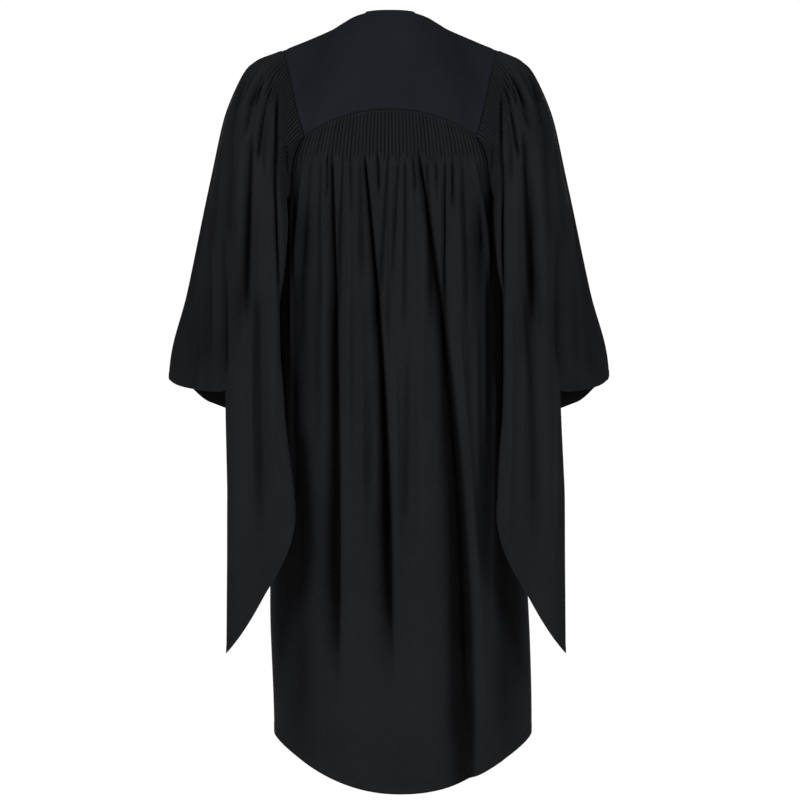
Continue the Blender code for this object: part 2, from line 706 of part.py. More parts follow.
def build_back(collection):
    """Build the back, fluted into the arch of the yoke."""
    sheet = Sheet()
    count = 2 * BACK_FLUTES
    fine = [-1.0 + 2.0 * i / count for i in range(count + 1)]
    rows = []
    for fall, height in zip(FLUTE_ROWS["share"], FLUTE_ROWS["height"]):
        points = []
        for i, v in enumerate(fine):
            wave = (1.0 if i % 2 else -1.0) * ease(min(i, count - i) / 3)
            point = back_point(v, fall)
            if fall == 0.0:
                lower = back_point(v, 0.10)
                gap = mix(SEAM_GAP / 2, SEAM_GAP, ease((abs(v) - 0.8) / 0.15))
                point = point + unit(lower - point) * gap
            point = point + np.array([0.0, -1.0, 0.0]) * wave * height * BACK_FLUTE_HEIGHT
            if i in (0, count):
                point = set_back_from_armhole(point, -1.0 if v < 0 else 1.0, BESIDE_ARMHOLE)
            points.append(point)
        rows.append(sheet.row(points, fine))
    inner = [-1.0 + i / BACK_COLUMNS for i in range(2 * BACK_COLUMNS + 1)]
    for r in range(BACK_BAND_ROWS):
        fall = 1.0 + (r + 0.5) / BACK_BAND_ROWS
        points = []
        for v in inner:
            point = back_point(v, fall)
            if abs(v) == 1.0:
                point = set_back_from_armhole(point, v, BESIDE_ARMHOLE)
            points.append(point)
        rows.append(sheet.row(points, inner))
    steps = armhole_steps(3.0, 4.5, BACK_ARMHOLE_COLUMNS)[1:]
    outer = [1.0 + (key - 3.0) / 1.5 for key in steps]
    places = [-v for v in reversed(outer)] + inner + outer
    body_rows = []
    for r in range(BACK_ROWS):
        fall = 2.0 + (r / (BACK_ROWS - 1)) ** 1.15
        points = []
        for v in places:
            point = back_point(v, fall)
            if r == 0 and abs(v) >= 1.0:
                point = set_back_from_armhole(point, -1.0 if v < 0 else 1.0, UNDER_ARMHOLE)
            points.append(side_set_back(point, v))
        body_rows.append(sheet.row(points, places))
    first, _ = body_rows[0]
    rows.append((first[len(outer):-len(outer)], inner))
    for upper, lower in zip(rows, rows[1:]):
        sheet.join(upper, lower)
    for upper, lower in zip(body_rows, body_rows[1:]):
        sheet.join(upper, lower)
    return sheet.finish("back_panel", collection)


def side_set_back(point, v):
    """Return a side seam point set back by half the gap between two pieces."""
    if abs(v) < 1.999:
        return point
    return point + np.array([0.0, -SIDE_SEAM_SETBACK, 0.0])


def build_front(side, name, collection):
    """Build one front, from the side seam to the open front edge."""
    sheet = Sheet()
    reach = FRONT_ARMHOLE_REACH
    outer = [reach * i / FRONT_ARMHOLE_COLUMNS for i in range(FRONT_ARMHOLE_COLUMNS)]
    inner = [mix(reach, 1.0, i / FRONT_CHEST_COLUMNS) for i in range(FRONT_CHEST_COLUMNS + 1)]
    rows = []
    for r in range(CHEST_ROWS):
        points = []
        for u in inner:
            point = chest_point(u, r / CHEST_ROWS, side)
            if r == 0:
                lower = chest_point(u, 0.05, side)
                point = point + unit(lower - point) * SEAM_GAP * 1.5
            if u == reach:
                point = set_back_from_armhole(point, side, UNDER_ARMHOLE)
            points.append(point)
        rows.append(sheet.row(points, inner))
    places = outer + inner
    body_rows = []
    for r in range(FRONT_ROWS):
        level = (r / (FRONT_ROWS - 1)) ** 1.2
        points = []
        for u in places:
            point = front_point(u, level, side)
            if r == 0 and u <= reach:
                point = set_back_from_armhole(point, side, UNDER_ARMHOLE)
            if u == 0.0:
                point = point + np.array([0.0, SIDE_SEAM_SETBACK, 0.0])
            points.append(point)
        body_rows.append(sheet.row(points, places))
    first, _ = body_rows[0]
    rows.append((first[len(outer):], inner))
    for upper, lower in zip(rows, rows[1:]):
        sheet.join(upper, lower)
    for upper, lower in zip(body_rows, body_rows[1:]):
        sheet.join(upper, lower)
    return sheet.finish(name, collection)


def set_back_from_armhole(point, side, away):
    """Return a point of a panel's armhole edge, moved a seam's gap into the panel."""
    return point + np.array([side * away[0], 0.0, away[1]]) * ARMHOLE_SETBACK


def build_sleeve(side, name, collection):
    """Build one sleeve, fluted into its armhole and hanging to a point."""
    sheet = Sheet()
    front_start = SLEEVE_FLUTE_FRONT_KEY
    back_count = 2 * SLEEVE_BACK_FLUTES
    front_count = 2 * SLEEVE_FRONT_FLUTES
    fine = armhole_steps(0.0, SLEEVE_FLUTE_BACK_KEY, back_count)[:-1]
    waves = [1.0 if i % 2 else -1.0 for i in range(back_count)]
    plain = SLEEVE_PLAIN_COLUMNS
    fine += armhole_steps(SLEEVE_FLUTE_BACK_KEY, front_start, plain)[:-1]
    waves += [0.0] * plain
    fine += armhole_steps(front_start, 8.0, front_count)[:-1]
    waves += [0.0] + [0.8 if i % 2 else -0.8 for i in range(1, front_count)]
    rows = []
    for share, height in zip(FLUTE_ROWS["share"], FLUTE_ROWS["height"]):
        level = share * SLEEVE_FLUTE_END_LEVEL
        push = height * SLEEVE_FLUTE_HEIGHT
        points = [sleeve_point(key, level, side, wave * push) for key, wave in zip(fine, waves)]
        rows.append(sheet.row(points, fine))
    coarse = [8.0 * i / SLEEVE_COLUMNS for i in range(SLEEVE_COLUMNS)]
    for level in SLEEVE_LEVELS:
        points = [sleeve_point(key, level, side) for key in coarse]
        rows.append(sheet.row(points, coarse))
    for upper, lower in zip(rows, rows[1:]):
        sheet.join(upper, lower, closed=True)
    cuff, _ = rows[-1]
    first = coarse.index(1.0)
    last = coarse.index(4.0)
    above = cuff[first:last + 1]
    keys = coarse[first:last + 1]
    for r in range(1, POINT_ROWS + 1):
        below = []
        for key in keys[:-1]:
            end = level_of_drop(key, point_end(key), side)
            level = mix(5.0, end, r / POINT_ROWS)
            place = sleeve_point(key, level, side)
            below.append(sheet.mesh.verts.new([float(c) for c in place]))
        below.append(above[-1])
        sheet.join((above, keys), (below, keys))
        above = below
    return sheet.finish(name, collection)


def main():
    """Build the gown in a collection of its own."""
    for obj in list(bpy.data.objects):
        bpy.data.objects.remove(obj, do_unlink=True)
    collection = bpy.data.collections.new("graduation_gown")
    bpy.context.scene.collection.children.link(collection)
    build_yoke(collection)
    build_back(collection)
    build_sleeve(-1, "sleeve_left", collection)
    build_sleeve(1, "sleeve_right", collection)
    build_front(-1, "front_left", collection)
    build_front(1, "front_right", collection)


main()
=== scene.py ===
"""Graduation gown: the finished look of its panels, seams and cloth.

The gown hangs from the shoulders of a hollow figure that stands upright. Metres.
+Z is up, -Y is the wearer's back and +X the wearer's right side. The origin is
midway between the shoulders, level with the base of the neck. A drop is a height
measured downwards from it.
"""

import logging
import math
from dataclasses import dataclass, field
from enum import Enum

import bmesh
import bpy
import numpy as np
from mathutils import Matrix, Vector


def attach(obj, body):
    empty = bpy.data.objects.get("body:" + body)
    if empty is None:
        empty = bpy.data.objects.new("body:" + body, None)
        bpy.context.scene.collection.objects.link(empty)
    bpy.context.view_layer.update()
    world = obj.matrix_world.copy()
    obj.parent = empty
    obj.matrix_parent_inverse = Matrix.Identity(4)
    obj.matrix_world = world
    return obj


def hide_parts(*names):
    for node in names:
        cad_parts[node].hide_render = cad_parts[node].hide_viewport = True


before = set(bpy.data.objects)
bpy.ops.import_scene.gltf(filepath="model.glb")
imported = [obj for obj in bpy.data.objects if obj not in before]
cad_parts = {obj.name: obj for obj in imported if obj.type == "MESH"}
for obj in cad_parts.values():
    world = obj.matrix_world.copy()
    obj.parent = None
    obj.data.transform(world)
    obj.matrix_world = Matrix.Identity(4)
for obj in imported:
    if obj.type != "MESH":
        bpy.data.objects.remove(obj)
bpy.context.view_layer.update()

LOG = logging.getLogger("graduation_gown")
Array = np.ndarray
MILLIMETRE = 0.001
CLOTH_THICKNESS = 0.0009
YOKE_THICKNESS = 0.0012
HEM_THICKNESS = 0.0005
FACING_THICKNESS = 0.0004
STITCH_LIFT = 0.00058
# Push of the cloth that counts as a crest of one
CREST_SCALE = 0.006
YOKE_CREST_SCALE = 0.003
# Row of a block that the hem's stitches follow
HEM_ROW = -4
BACKWARDS = np.array([0.0, -1.0, 0.0])


class Side(Enum):
    """A side of the wearer, with the sign of its x."""

    LEFT = -1
    RIGHT = 1


class Face(Enum):
    """The back or the front of the body of the gown."""

    BACK = "back"
    FRONT = "front"


# Curves and blends


def mix(a: Array, b: Array, t: Array) -> Array:
    """Return the value a share t of the way from a to b."""
    return a + (b - a) * t


def ease(t: Array) -> Array:
    """Return a share from 0 to 1 with a soft start and end."""
    t = np.clip(t, 0.0, 1.0)
    return t * t * (3 - 2 * t)


def unit(vectors: Array) -> Array:
    """Return vectors with the length one, taken over the last axis."""
    size = np.linalg.norm(vectors, axis=-1, keepdims=True)
    return vectors / np.maximum(size, 1e-12)


def smooth_value(knots: list[float], values: Array, at: Array) -> Array:
    """Return a table's values on a monotone cubic.

    Args:
        knots: Rising positions, one for each row of values.
        values: One number for each knot, or one array of at's shape.
        at: Positions to read at.

    Returns:
        The values at those positions.
    """
    places = np.asarray(knots, float)
    at = np.clip(np.asarray(at, float), places[0], places[-1])
    rows = np.asarray(values, float)
    rows = rows.reshape(rows.shape + (1,) * (1 + at.ndim - rows.ndim))
    rows = np.broadcast_to(rows, (len(places), *at.shape))
    widths = np.diff(places)
    slopes = np.diff(rows, axis=0) / widths.reshape((-1,) + (1,) * at.ndim)
    product = slopes[:-1] * slopes[1:]
    total = slopes[:-1] + slopes[1:]
    inner = np.where(product > 0, 2 * product / np.where(total == 0, 1.0, total), 0.0)
    tangents = np.concatenate([slopes[:1], inner, slopes[-1:]])
    index = np.clip(np.searchsorted(places, at, side="right") - 1, 0, len(places) - 2)

    def take(table: Array, rows_at: Array) -> Array:
        """Return one row's value for each position."""
        return np.take_along_axis(table, rows_at[None], axis=0)[0]

    step = widths[index]
    t = (at - places[index]) / step
    start = (1 + 2 * t) * (1 - t) ** 2 * take(rows, index)
    end = t * t * (3 - 2 * t) * take(rows, index + 1)
    bend_start = t * (1 - t) ** 2 * step * take(tangents, index)
    bend_end = t * t * (t - 1) * step * take(tangents, index + 1)
    return start + end + bend_start + bend_end


def loop_value(values: list[float], at: Array) -> Array:
    """Return values on the closed smooth curve through keys at whole numbers.

    Args:
        values: One number for each whole key, round the loop.
        at: Keys to read at.

    Returns:
        The values at those positions.
    """
    ring = np.asarray(values, float)
    index = np.floor(at).astype(int)
    t = at - index
    a, b, c, d = (ring[(index + k) % len(ring)] for k in (-1, 0, 1, 2))
    bend = 2 * a - 5 * b + 4 * c - d
    twist = 3 * b - a - 3 * c + d
    return 0.5 * (2 * b + (c - a) * t + bend * t * t + twist * t**3)


def bezier(start: Array, first: Array, second: Array, end: Array, t: Array) -> Array:
    """Return points of a cubic curve, with t on a trailing axis of its own."""
    k = 1 - t
    return k**3 * start + 3 * k * k * t * first + 3 * k * t * t * second + t**3 * end


def ripple(places: Array, waves: int, seed: int) -> Array:
    """Return a smooth uneven value from -1 to 1 along places from 0 to 1.

    Args:
        places: Places to read at.
        waves: Number of waves.
        seed: Seed of the unevenness.

    Returns:
        The uneven values.
    """
    chance = np.random.default_rng(seed)
    knots = np.linspace(0.0, 1.0, waves + 1)
    return smooth_value(list(knots), chance.uniform(-1.0, 1.0, waves + 1), places)


# The shape of the gown


@dataclass(frozen=True)
class NeckAndYoke:
    """Sizes of the neck opening and of the yoke."""

    neck_half_width: float = 0.0705
    neck_back_depth: float = 0.072
    neck_back_rise: float = 0.0205
    neck_side_rise: float = 0.0060
    front_reach: float = 0.032
    front_key: float = 7.38
    corner_x: float = 0.1255
    corner_drop: float = 0.166
    peak_drop: float = 0.129
    arch_power: float = 2.1


@dataclass(frozen=True)
class Hem:
    """Sizes of the hem of the body."""

    drop: float = 1.120
    side_rise: float = 0.077
    power: float = 2.1
    front_rise: float = 0.012
    open_half_width: float = 0.060


LEAN = {
    "drop": [0.00, 0.30, 0.55, 0.70, 0.85, 1.04, 1.14],
    "shift": [-0.0015, -0.0005, 0.0030, 0.0080, 0.0120, 0.0175, 0.0135],
}
BODY = {
    "drop": [-0.02, 0.03, 0.08, 0.125, 0.166, 0.27, 0.45, 0.70, 0.90, 1.04, 1.14],
    "half_width": [0.146, 0.161, 0.169, 0.173, 0.177, 0.184, 0.181, 0.186, 0.192, 0.191, 0.187],
    "back": [0.088, 0.106, 0.115, 0.121, 0.125, 0.131, 0.136, 0.148, 0.157, 0.162, 0.165],
    "front": [0.035, 0.066, 0.092, 0.104, 0.110, 0.118, 0.122, 0.128, 0.134, 0.138, 0.140],
    "power": [2.4, 2.5, 2.5, 2.6, 2.8, 3.3, 3.6, 3.2, 2.8, 2.6, 2.5],
}
# Keys go round the armhole: 0 on the shoulder, 2 at the yoke's corner on the back, 3
# where the armhole turns under the arm, 4.5 at the side seam and 6 on the chest
KEYS = 8
CORNER_KEY = 2.0
TURN_KEY = 3.0
SIDE_SEAM_KEY = 4.5
FRONT_CORNER_KEY = 6.0
ARMHOLE = {
    "x": [0.1595, 0.1475, 0.1255, 0.1465, 0.1785, 0.1815, 0.1440, 0.1500],
    "y": [0.0000, -0.0520, -0.1010, -0.1020, -0.0410, 0.0395, 0.0840, 0.0480],
    "drop": [0.0320, 0.0780, 0.1660, 0.2430, 0.2680, 0.2680, 0.1800, 0.0850],
    "lift": [0.0004, 0.0008, 0.0010, 0.0016, 0.0018, 0.0018, 0.0013, 0.0007],
}
SLEEVE = {
    "outer_x": [0.2075, 0.2410, 0.2663, 0.2985, 0.3245, 0.3265, 0.3265],
    "outer_drop": [0.055, 0.114, 0.224, 0.389, 0.522, 0.700, 0.930],
    "ridge_x": [0.186, 0.220, 0.236, 0.2405, 0.2425, 0.2440, 0.2455],
    "ridge_y": [-0.098, -0.124, -0.133, -0.136, -0.134, -0.138, -0.142],
    "back_y": [-0.134, -0.156, -0.162, -0.161, -0.157, -0.160, -0.162],
    "fold_x": [0.1525, 0.1510, 0.1535, 0.1610, 0.1570, 0.146, 0.140],
    "fold_y": [-0.124, -0.148, -0.156, -0.159, -0.159, -0.163, -0.166],
    "under_x": [0.194, 0.200, 0.205, 0.208, 0.210, 0.210, 0.210],
    "under_drop": [0.288, 0.318, 0.372, 0.452, 0.575, 0.700, 0.930],
    "front_y": [0.088, 0.092, 0.090, 0.085, 0.078, 0.078, 0.078],
}
SLEEVE_KEY_SHARE = [0.0, 0.28, 0.58, 0.90, 1.0, 1.0, 0.75, 0.35]
FLUTE_END_DROP = 0.190
SEAM_CALM = 0.035
SEAM_SETTLE = 0.080
LINE_HEM_SHARE = 0.72
FRONT_ARMHOLE_REACH = 0.46
SEAM_GAP = 0.0004
DROP_STEP = 0.0025
NORMAL_WINDOW = 0.03
ARMHOLE_BOW = 0.008
ARMHOLE_TURN = 0.3


class GownForm:
    """The smooth form of the gown, which every panel's folds are laid on."""

    def __init__(self) -> None:
        """Measure the body's sections once, at close drops."""
        self.yoke = NeckAndYoke()
        self.hem = Hem()
        self.drops = np.arange(-0.030, 1.160, DROP_STEP)
        self.shares = np.linspace(0.0, 1.0, 481)
        self.sections = {face: self._measure(face) for face in Face}
        keys = np.linspace(CORNER_KEY, TURN_KEY, 201)
        self._beside = (loop_value(ARMHOLE["drop"], keys), keys)
        self.turn_drop = float(loop_value(ARMHOLE["drop"], np.array(TURN_KEY)))

    def _measure(self, face: Face) -> dict[str, Array]:
        """Return tables of x, y and normals by drop and share, and shares by width.

        Args:
            face: Which half of the body.

        Returns:
            The tables by name, each with a row for a drop and a column for a share.
        """
        angle = np.linspace(0.0, math.pi / 2, 241)
        names = ("x", "y", "normal_x", "normal_y", "share")
        tables = {name: [] for name in names}
        for drop in self.drops:
            half = float(smooth_value(BODY["drop"], BODY["half_width"], drop))
            depth = float(smooth_value(BODY["drop"], BODY[face.value], drop))
            power = 2.0 / float(smooth_value(BODY["drop"], BODY["power"], drop))
            x = half * np.sin(angle) ** power
            y = depth * np.clip(np.cos(angle), 0.0, 1.0) ** power
            arc = np.concatenate([[0.0], np.cumsum(np.hypot(np.diff(x), np.diff(y)))])
            arc /= arc[-1]
            sign = -1.0 if face is Face.BACK else 1.0
            low = np.maximum(self.shares - NORMAL_WINDOW, 0.0)
            high = np.minimum(self.shares + NORMAL_WINDOW, 1.0)
            run = np.interp(high, arc, x) - np.interp(low, arc, x)
            fall = np.interp(low, arc, y) - np.interp(high, arc, y)
            size = np.hypot(run, fall)
            tables["x"].append(np.interp(self.shares, arc, x))
            tables["y"].append(sign * np.interp(self.shares, arc, y))
            tables["normal_x"].append(fall / size)
            tables["normal_y"].append(sign * run / size)
            tables["share"].append(np.interp(self.shares * half, x, arc))
        return {name: np.array(rows) for name, rows in tables.items()}

    def _read(self, table: Array, drop: Array, across: Array) -> Array:
        """Return a table's values between its drops and shares.

        Args:
            table: Rows by drop and columns by share.
            drop: Drops to read at.
            across: Shares to read at, from 0 to 1.

        Returns:
            The values.
        """
        row = (np.clip(drop, self.drops[0], self.drops[-1]) - self.drops[0]) / DROP_STEP
        row = np.clip(row, 0.0, len(self.drops) - 1.001)
        column = np.clip(across, 0.0, 1.0) * (len(self.shares) - 1)
        column = np.clip(column, 0.0, len(self.shares) - 1.001)
        i, j = row.astype(int), column.astype(int)
        u, v = row - i, column - j
        upper = mix(table[i, j], table[i, j + 1], v)
        lower = mix(table[i + 1, j], table[i + 1, j + 1], v)
        return mix(upper, lower, u)

    def lean(self, drop: Array) -> Array:
        """Return how far the hanging cloth leans to the wearer's right."""
        return smooth_value(LEAN["drop"], LEAN["shift"], drop)

    def section(self, share: Array, drop: Array, face: Face) -> tuple[Array, Array]:
        """Return points of a body section and their outward normals.

        Args:
            share: Place across the back or front, from -1 to 1.
            drop: Drops of the section.
            face: Which half of the section.

        Returns:
            Points and normals, each with a last axis of three.
        """
        share, drop = np.broadcast_arrays(np.asarray(share, float), np.asarray(drop, float))
        tables = self.sections[face]
        sign = np.where(share < 0, -1.0, 1.0)
        reach = np.abs(share)
        x = sign * self._read(tables["x"], drop, reach) + self.lean(drop)
        points = np.stack([x, self._read(tables["y"], drop, reach), -drop], axis=-1)
        out_x = sign * self._read(tables["normal_x"], drop, reach)
        out_y = self._read(tables["normal_y"], drop, reach)
        return points, unit(np.stack([out_x, out_y, np.zeros_like(out_x)], axis=-1))

    def share_of_x(self, x: Array, drop: Array, face: Face) -> Array:
        """Return the share at which a section has a given half width.

        Args:
            x: Half widths, with a sign for the side.
            drop: Drops of the sections.
            face: Which half of the body.

        Returns:
            Shares from -1 to 1, with the signs of x.
        """
        x, drop = np.broadcast_arrays(np.asarray(x, float), np.asarray(drop, float))
        half = smooth_value(BODY["drop"], BODY["half_width"], drop)
        share = self._read(self.sections[face]["share"], drop, np.abs(x) / half)
        return share * np.where(x < 0, -1.0, 1.0)

    @staticmethod
    def armhole_x(key: Array) -> Array:
        """Return half widths of the armhole seam, which turns out below the yoke's corner.

        Args:
            key: Keys from 0 to 8.

        Returns:
            The half widths.
        """
        key = np.asarray(key, float)
        x = loop_value(ARMHOLE["x"], key)
        _, above, corner, below = ARMHOLE["x"][:4]
        along = np.clip(key - 1.0, 0.0, 1.0)
        down = np.clip(key - 2.0, 0.0, 1.0)
        straight = mix(above, corner, along) + ARMHOLE_BOW * along * (1 - along)
        turn = (1 - np.exp(-down / ARMHOLE_TURN)) / (1 - math.exp(-1 / ARMHOLE_TURN))
        turned = mix(corner, below, turn)
        x = np.where((key > 1.0) & (key <= 2.0), straight, x)
        return np.where((key > 2.0) & (key < 3.0), turned, x)

    def armhole(self, key: Array, side: Side) -> Array:
        """Return points of the armhole seam, by key from the top down the back.

        Args:
            key: Keys along the seam.
            side: Which armhole.

        Returns:
            The points, with a last axis of three.
        """
        key = np.asarray(key, float)
        drop = loop_value(ARMHOLE["drop"], key)
        x = self.armhole_x(key % KEYS)
        y = loop_value(ARMHOLE["y"], key)
        on_body = ease((key - 1.2) / 0.8) * ease(4.0 - key)
        surface, _ = self.section(self.share_of_x(x, drop, Face.BACK), drop, Face.BACK)
        y = mix(y, surface[..., 1], on_body)
        return np.stack([side.value * x + self.lean(drop), y, -drop], axis=-1)

    def armhole_steps(self, start: float, end: float, count: int) -> Array:
        """Return count + 1 keys at equal distances along the armhole.

        Args:
            start: First key.
            end: Last key.
            count: Number of steps.

        Returns:
            The keys.
        """
        keys = np.linspace(start, end, 400)
        steps = np.linalg.norm(np.diff(self.armhole(keys, Side.RIGHT), axis=0), axis=1)
        arc = np.concatenate([[0.0], np.cumsum(steps)])
        return np.interp(np.linspace(0.0, arc[-1], count + 1), arc, keys)

    def beside_key(self, drop: Array) -> Array:
        """Return the key below the yoke's corner at which the armhole has a drop."""
        return np.interp(drop, *self._beside)

    def arch_drop(self, x: Array) -> Array:
        """Return the drop of the yoke's arched seam.

        Args:
            x: Distances from the centre line.

        Returns:
            The drops.
        """
        cut = self.yoke
        rise = cut.corner_drop - cut.peak_drop
        reach = np.clip(np.abs(x) / cut.corner_x, 0.0, 1.0)
        return cut.peak_drop + rise * reach**cut.arch_power

    def arch(self, x: Array) -> Array:
        """Return points of the arched seam by their distance from the centre line."""
        drop = self.arch_drop(x)
        return self.section(self.share_of_x(x, drop, Face.BACK), drop, Face.BACK)[0]

    def hem_drop(self, share: Array) -> Array:
        """Return the drop of the back hem at a share across the back.

        Args:
            share: Shares from -1 to 1.

        Returns:
            The drops.
        """
        points, _ = self.section(share, np.full(np.shape(share), self.hem.drop), Face.BACK)
        half = float(smooth_value(BODY["drop"], BODY["half_width"], self.hem.drop))
        wide = np.abs(points[..., 0] - self.lean(self.hem.drop)) / half
        return self.hem.drop - self.hem.side_rise * wide**self.hem.power


def spread_at(down: Array) -> Array:
    """Return how far a column has spread to its place at the hem."""
    return 1 - (1 - np.clip(down, 0.0, 1.0)) ** 1.4


# Folds and flutes

FOLD_COLUMNS = [
    ("top_x", float),
    ("middle_x", float),
    ("low_x", float),
    ("top", float),
    ("low", float),
    ("push", float),
    ("top_reach", float),
    ("low_reach", float),
    ("skew", float),
]

FOLD_START = 0.03
FOLD_LEAD = 0.006
FOLD_END_SHARE = 0.35
FOLD_ROUNDNESS = 1.7
FOLD_TAPER = 0.7
# Ranges that the soft folds are drawn from, in millimetres
SOFT_FOLD = {
    "shift": (-6, 6),
    "top": (190, 520),
    "length": (140, 420),
    "push": (1.8, 3.6),
    "reach": (3, 8),
}


def fold_table(rows: list[tuple[float, ...]]) -> Array:
    """Return folds as a table with named columns, from rows in millimetres.

    Args:
        rows: Places across at the top, middle and foot of a fold, the drops of its
            top and foot, its push and its reach at the top and foot. The last one,
            its skew, is a share: above zero the fold is steeper on its +X side.

    Returns:
        A structured array in metres, one row for each fold.
    """
    table = np.array(rows, dtype=FOLD_COLUMNS)
    for name, _ in FOLD_COLUMNS[:-1]:
        table[name] *= MILLIMETRE
    return table


def fold_push(table: Array, x: Array, drop: Array) -> Array:
    """Return how far the folds of a table move the cloth out at each place.

    Args:
        table: Rows of fold_table; a push below zero is a trough.
        x: Places across.
        drop: Drops of the places.

    Returns:
        Pushes in metres.
    """
    total = np.zeros(np.broadcast(x, drop).shape)
    for fold in table:
        length = fold["low"] - fold["top"]
        t = np.clip((drop - fold["top"]) / length, 0.0, 1.0)
        start, middle, end = fold["top_x"], fold["middle_x"], fold["low_x"]
        run = (4 * middle - 3 * start - end) * t
        centre = start + run + 2 * (start + end - 2 * middle) * t * t
        reach = mix(fold["top_reach"], fold["low_reach"], t)
        soft = np.minimum(FOLD_START, 0.25 * length)
        fade = ease((drop - fold["top"] + FOLD_LEAD) / (soft + FOLD_LEAD))
        fade = fade * ease((fold["low"] - drop) / np.maximum(FOLD_END_SHARE * length, 0.02))
        away = (x - centre) / reach
        away = np.abs(away) / (1 - fold["skew"] * np.sign(away))
        widest = np.maximum(fold["top_reach"], fold["low_reach"])
        depth = fold["push"] * (reach / widest) ** FOLD_TAPER
        total += depth * fade * np.exp(-(away**FOLD_ROUNDNESS))
    return total


def seam_shift(points: Array) -> Array:
    """Return the shift of points by the folds that cross the armhole seams."""
    push = fold_push(SEAM_FOLDS, points[..., 0], -points[..., 2])
    return push[..., None] * BACKWARDS


def flute_wave(place: Array) -> Array:
    """Return the section of a row of flutes, round on top and narrow between."""
    return 2.0 * np.abs(np.sin(math.pi * place)) ** 0.85 - 1.25


def soft_folds(seed: int, count: int, middle: float, spread: float) -> Array:
    """Return uneven soft folds.

    Args:
        seed: Seed of the unevenness.
        count: Number of folds.
        middle: Place across of the middle of the cloth, in millimetres.
        spread: Farthest place from that middle, in millimetres.

    Returns:
        A structured array like that of fold_table.
    """
    chance = np.random.default_rng(seed)
    rows = []
    for place in np.linspace(-1.0, 1.0, count):
        x = middle + spread * place + chance.uniform(*SOFT_FOLD["shift"])
        top = chance.uniform(*SOFT_FOLD["top"])
        low = top + chance.uniform(*SOFT_FOLD["length"])
        drift = chance.uniform(*SOFT_FOLD["shift"])
        push = chance.uniform(*SOFT_FOLD["push"]) * chance.choice([-1, 1])
        reach = chance.uniform(*SOFT_FOLD["reach"])
        rows.append((x, x + drift / 2, x + drift, top, low, push, 0.6 * reach, reach, 0))
    return fold_table(rows)


BACK_FOLDS = fold_table(
    [
        (-85, -76, -78, 191, 1015, -24, 2.5, 13, 0.7),
        (-69, -74, -75, 192, 450, -6.5, 1.5, 4.5, 0),
        (-45, -43, -42, 192, 407, -6, 2, 6, 0),
        (-38, -6, 0, 191, 986, -28, 2, 10, 0.66),
        (-19, -18, -17, 191, 262, -6, 2, 2.5, 0),
        (-4, -11, -22, 191, 450, -7, 1.5, 5, 0),
        (12, 4, -3, 191, 450, -6.5, 1.5, 4.5, 0),
        (21, 20, 18, 191, 508, -7, 1.5, 5, 0),
        (41, 104, 114, 189, 1240, -35, 2.5, 19, 0.66),
        (52, 56, 60, 195, 464, -7, 2, 5, 0),
        (80, 78, 83, 195, 551, -10, 1.5, 5, 0.2),
        (90, 90, 90, 194, 283, -6, 2, 2.5, 0),
        (105, 107, 112, 192, 493, -6.5, 2, 7, 0),
        (-103, -103, -101, 191, 479, -6, 2, 6, 0),
        (-116, -124, -129, 192, 378, -5, 2, 6.5, 0),
        (125, 133, 138, 192, 378, -5, 2, 6.5, 0),
        (-59, -58, -56, 194, 298, -5, 2, 3, 0),
        (31, 34, 35, 191, 262, -5, 2, 2.5, 0),
        (65, 67, 68, 194, 283, -5, 2, 3, 0),
        (-93, -93, -94, 191, 269, -5, 2, 2.5, 0),
        (-123, -136, -139, 196, 407, 7, 3, 6, 0),
        (118, 138, 142, 196, 407, 7, 3, 6, 0),
        (-59, -62, -64, 225, 580, 5, 5, 10, 0),
        (28, 35, 39, 204, 580, 6, 4.5, 11.5, 0),
        (67, 71, 77, 225, 349, 4, 3.5, 5, 0),
        (97, 100, 103, 218, 450, 5, 3.5, 6.5, 0),
        (0, 0, 0, 211, 450, 4, 2.5, 6, 0),
        (-68, -62, -39, 407, 1116, 8, 6.5, 22, 0),
        (1, 4, 10, 407, 972, 6, 5, 13, 0),
        (99, 122, 141, 450, 1073, 8, 3.5, 10, 0),
        (48, 48, 42, 580, 1116, 7, 11.5, 26, 0),
        (-132, -133, -135, 595, 1131, -6, 11.5, 24.5, 0),
        (165, 168, 170, 595, 1131, -6, 11.5, 22, 0),
        (-26, -29, -36, 407, 725, -4, 4.5, 8.5, 0),
        (26, 22, 20, 450, 783, -3.5, 4.5, 8.5, 0),
    ]
)
FRONT_FOLDS = fold_table(
    [
        (62, 66, 70, 60, 1090, 4, 8, 12, 0),
        (84, 84, 86, 120, 1060, -10, 8, 13, 0),
        (102, 102, 108, 170, 900, 5, 8, 14, 0),
        (120, 124, 128, 210, 1060, -11, 8, 13, 0),
        (140, 143, 146, 270, 980, 5, 7, 12, 0),
        (158, 160, 162, 300, 1060, -7, 6, 10, 0),
    ]
)
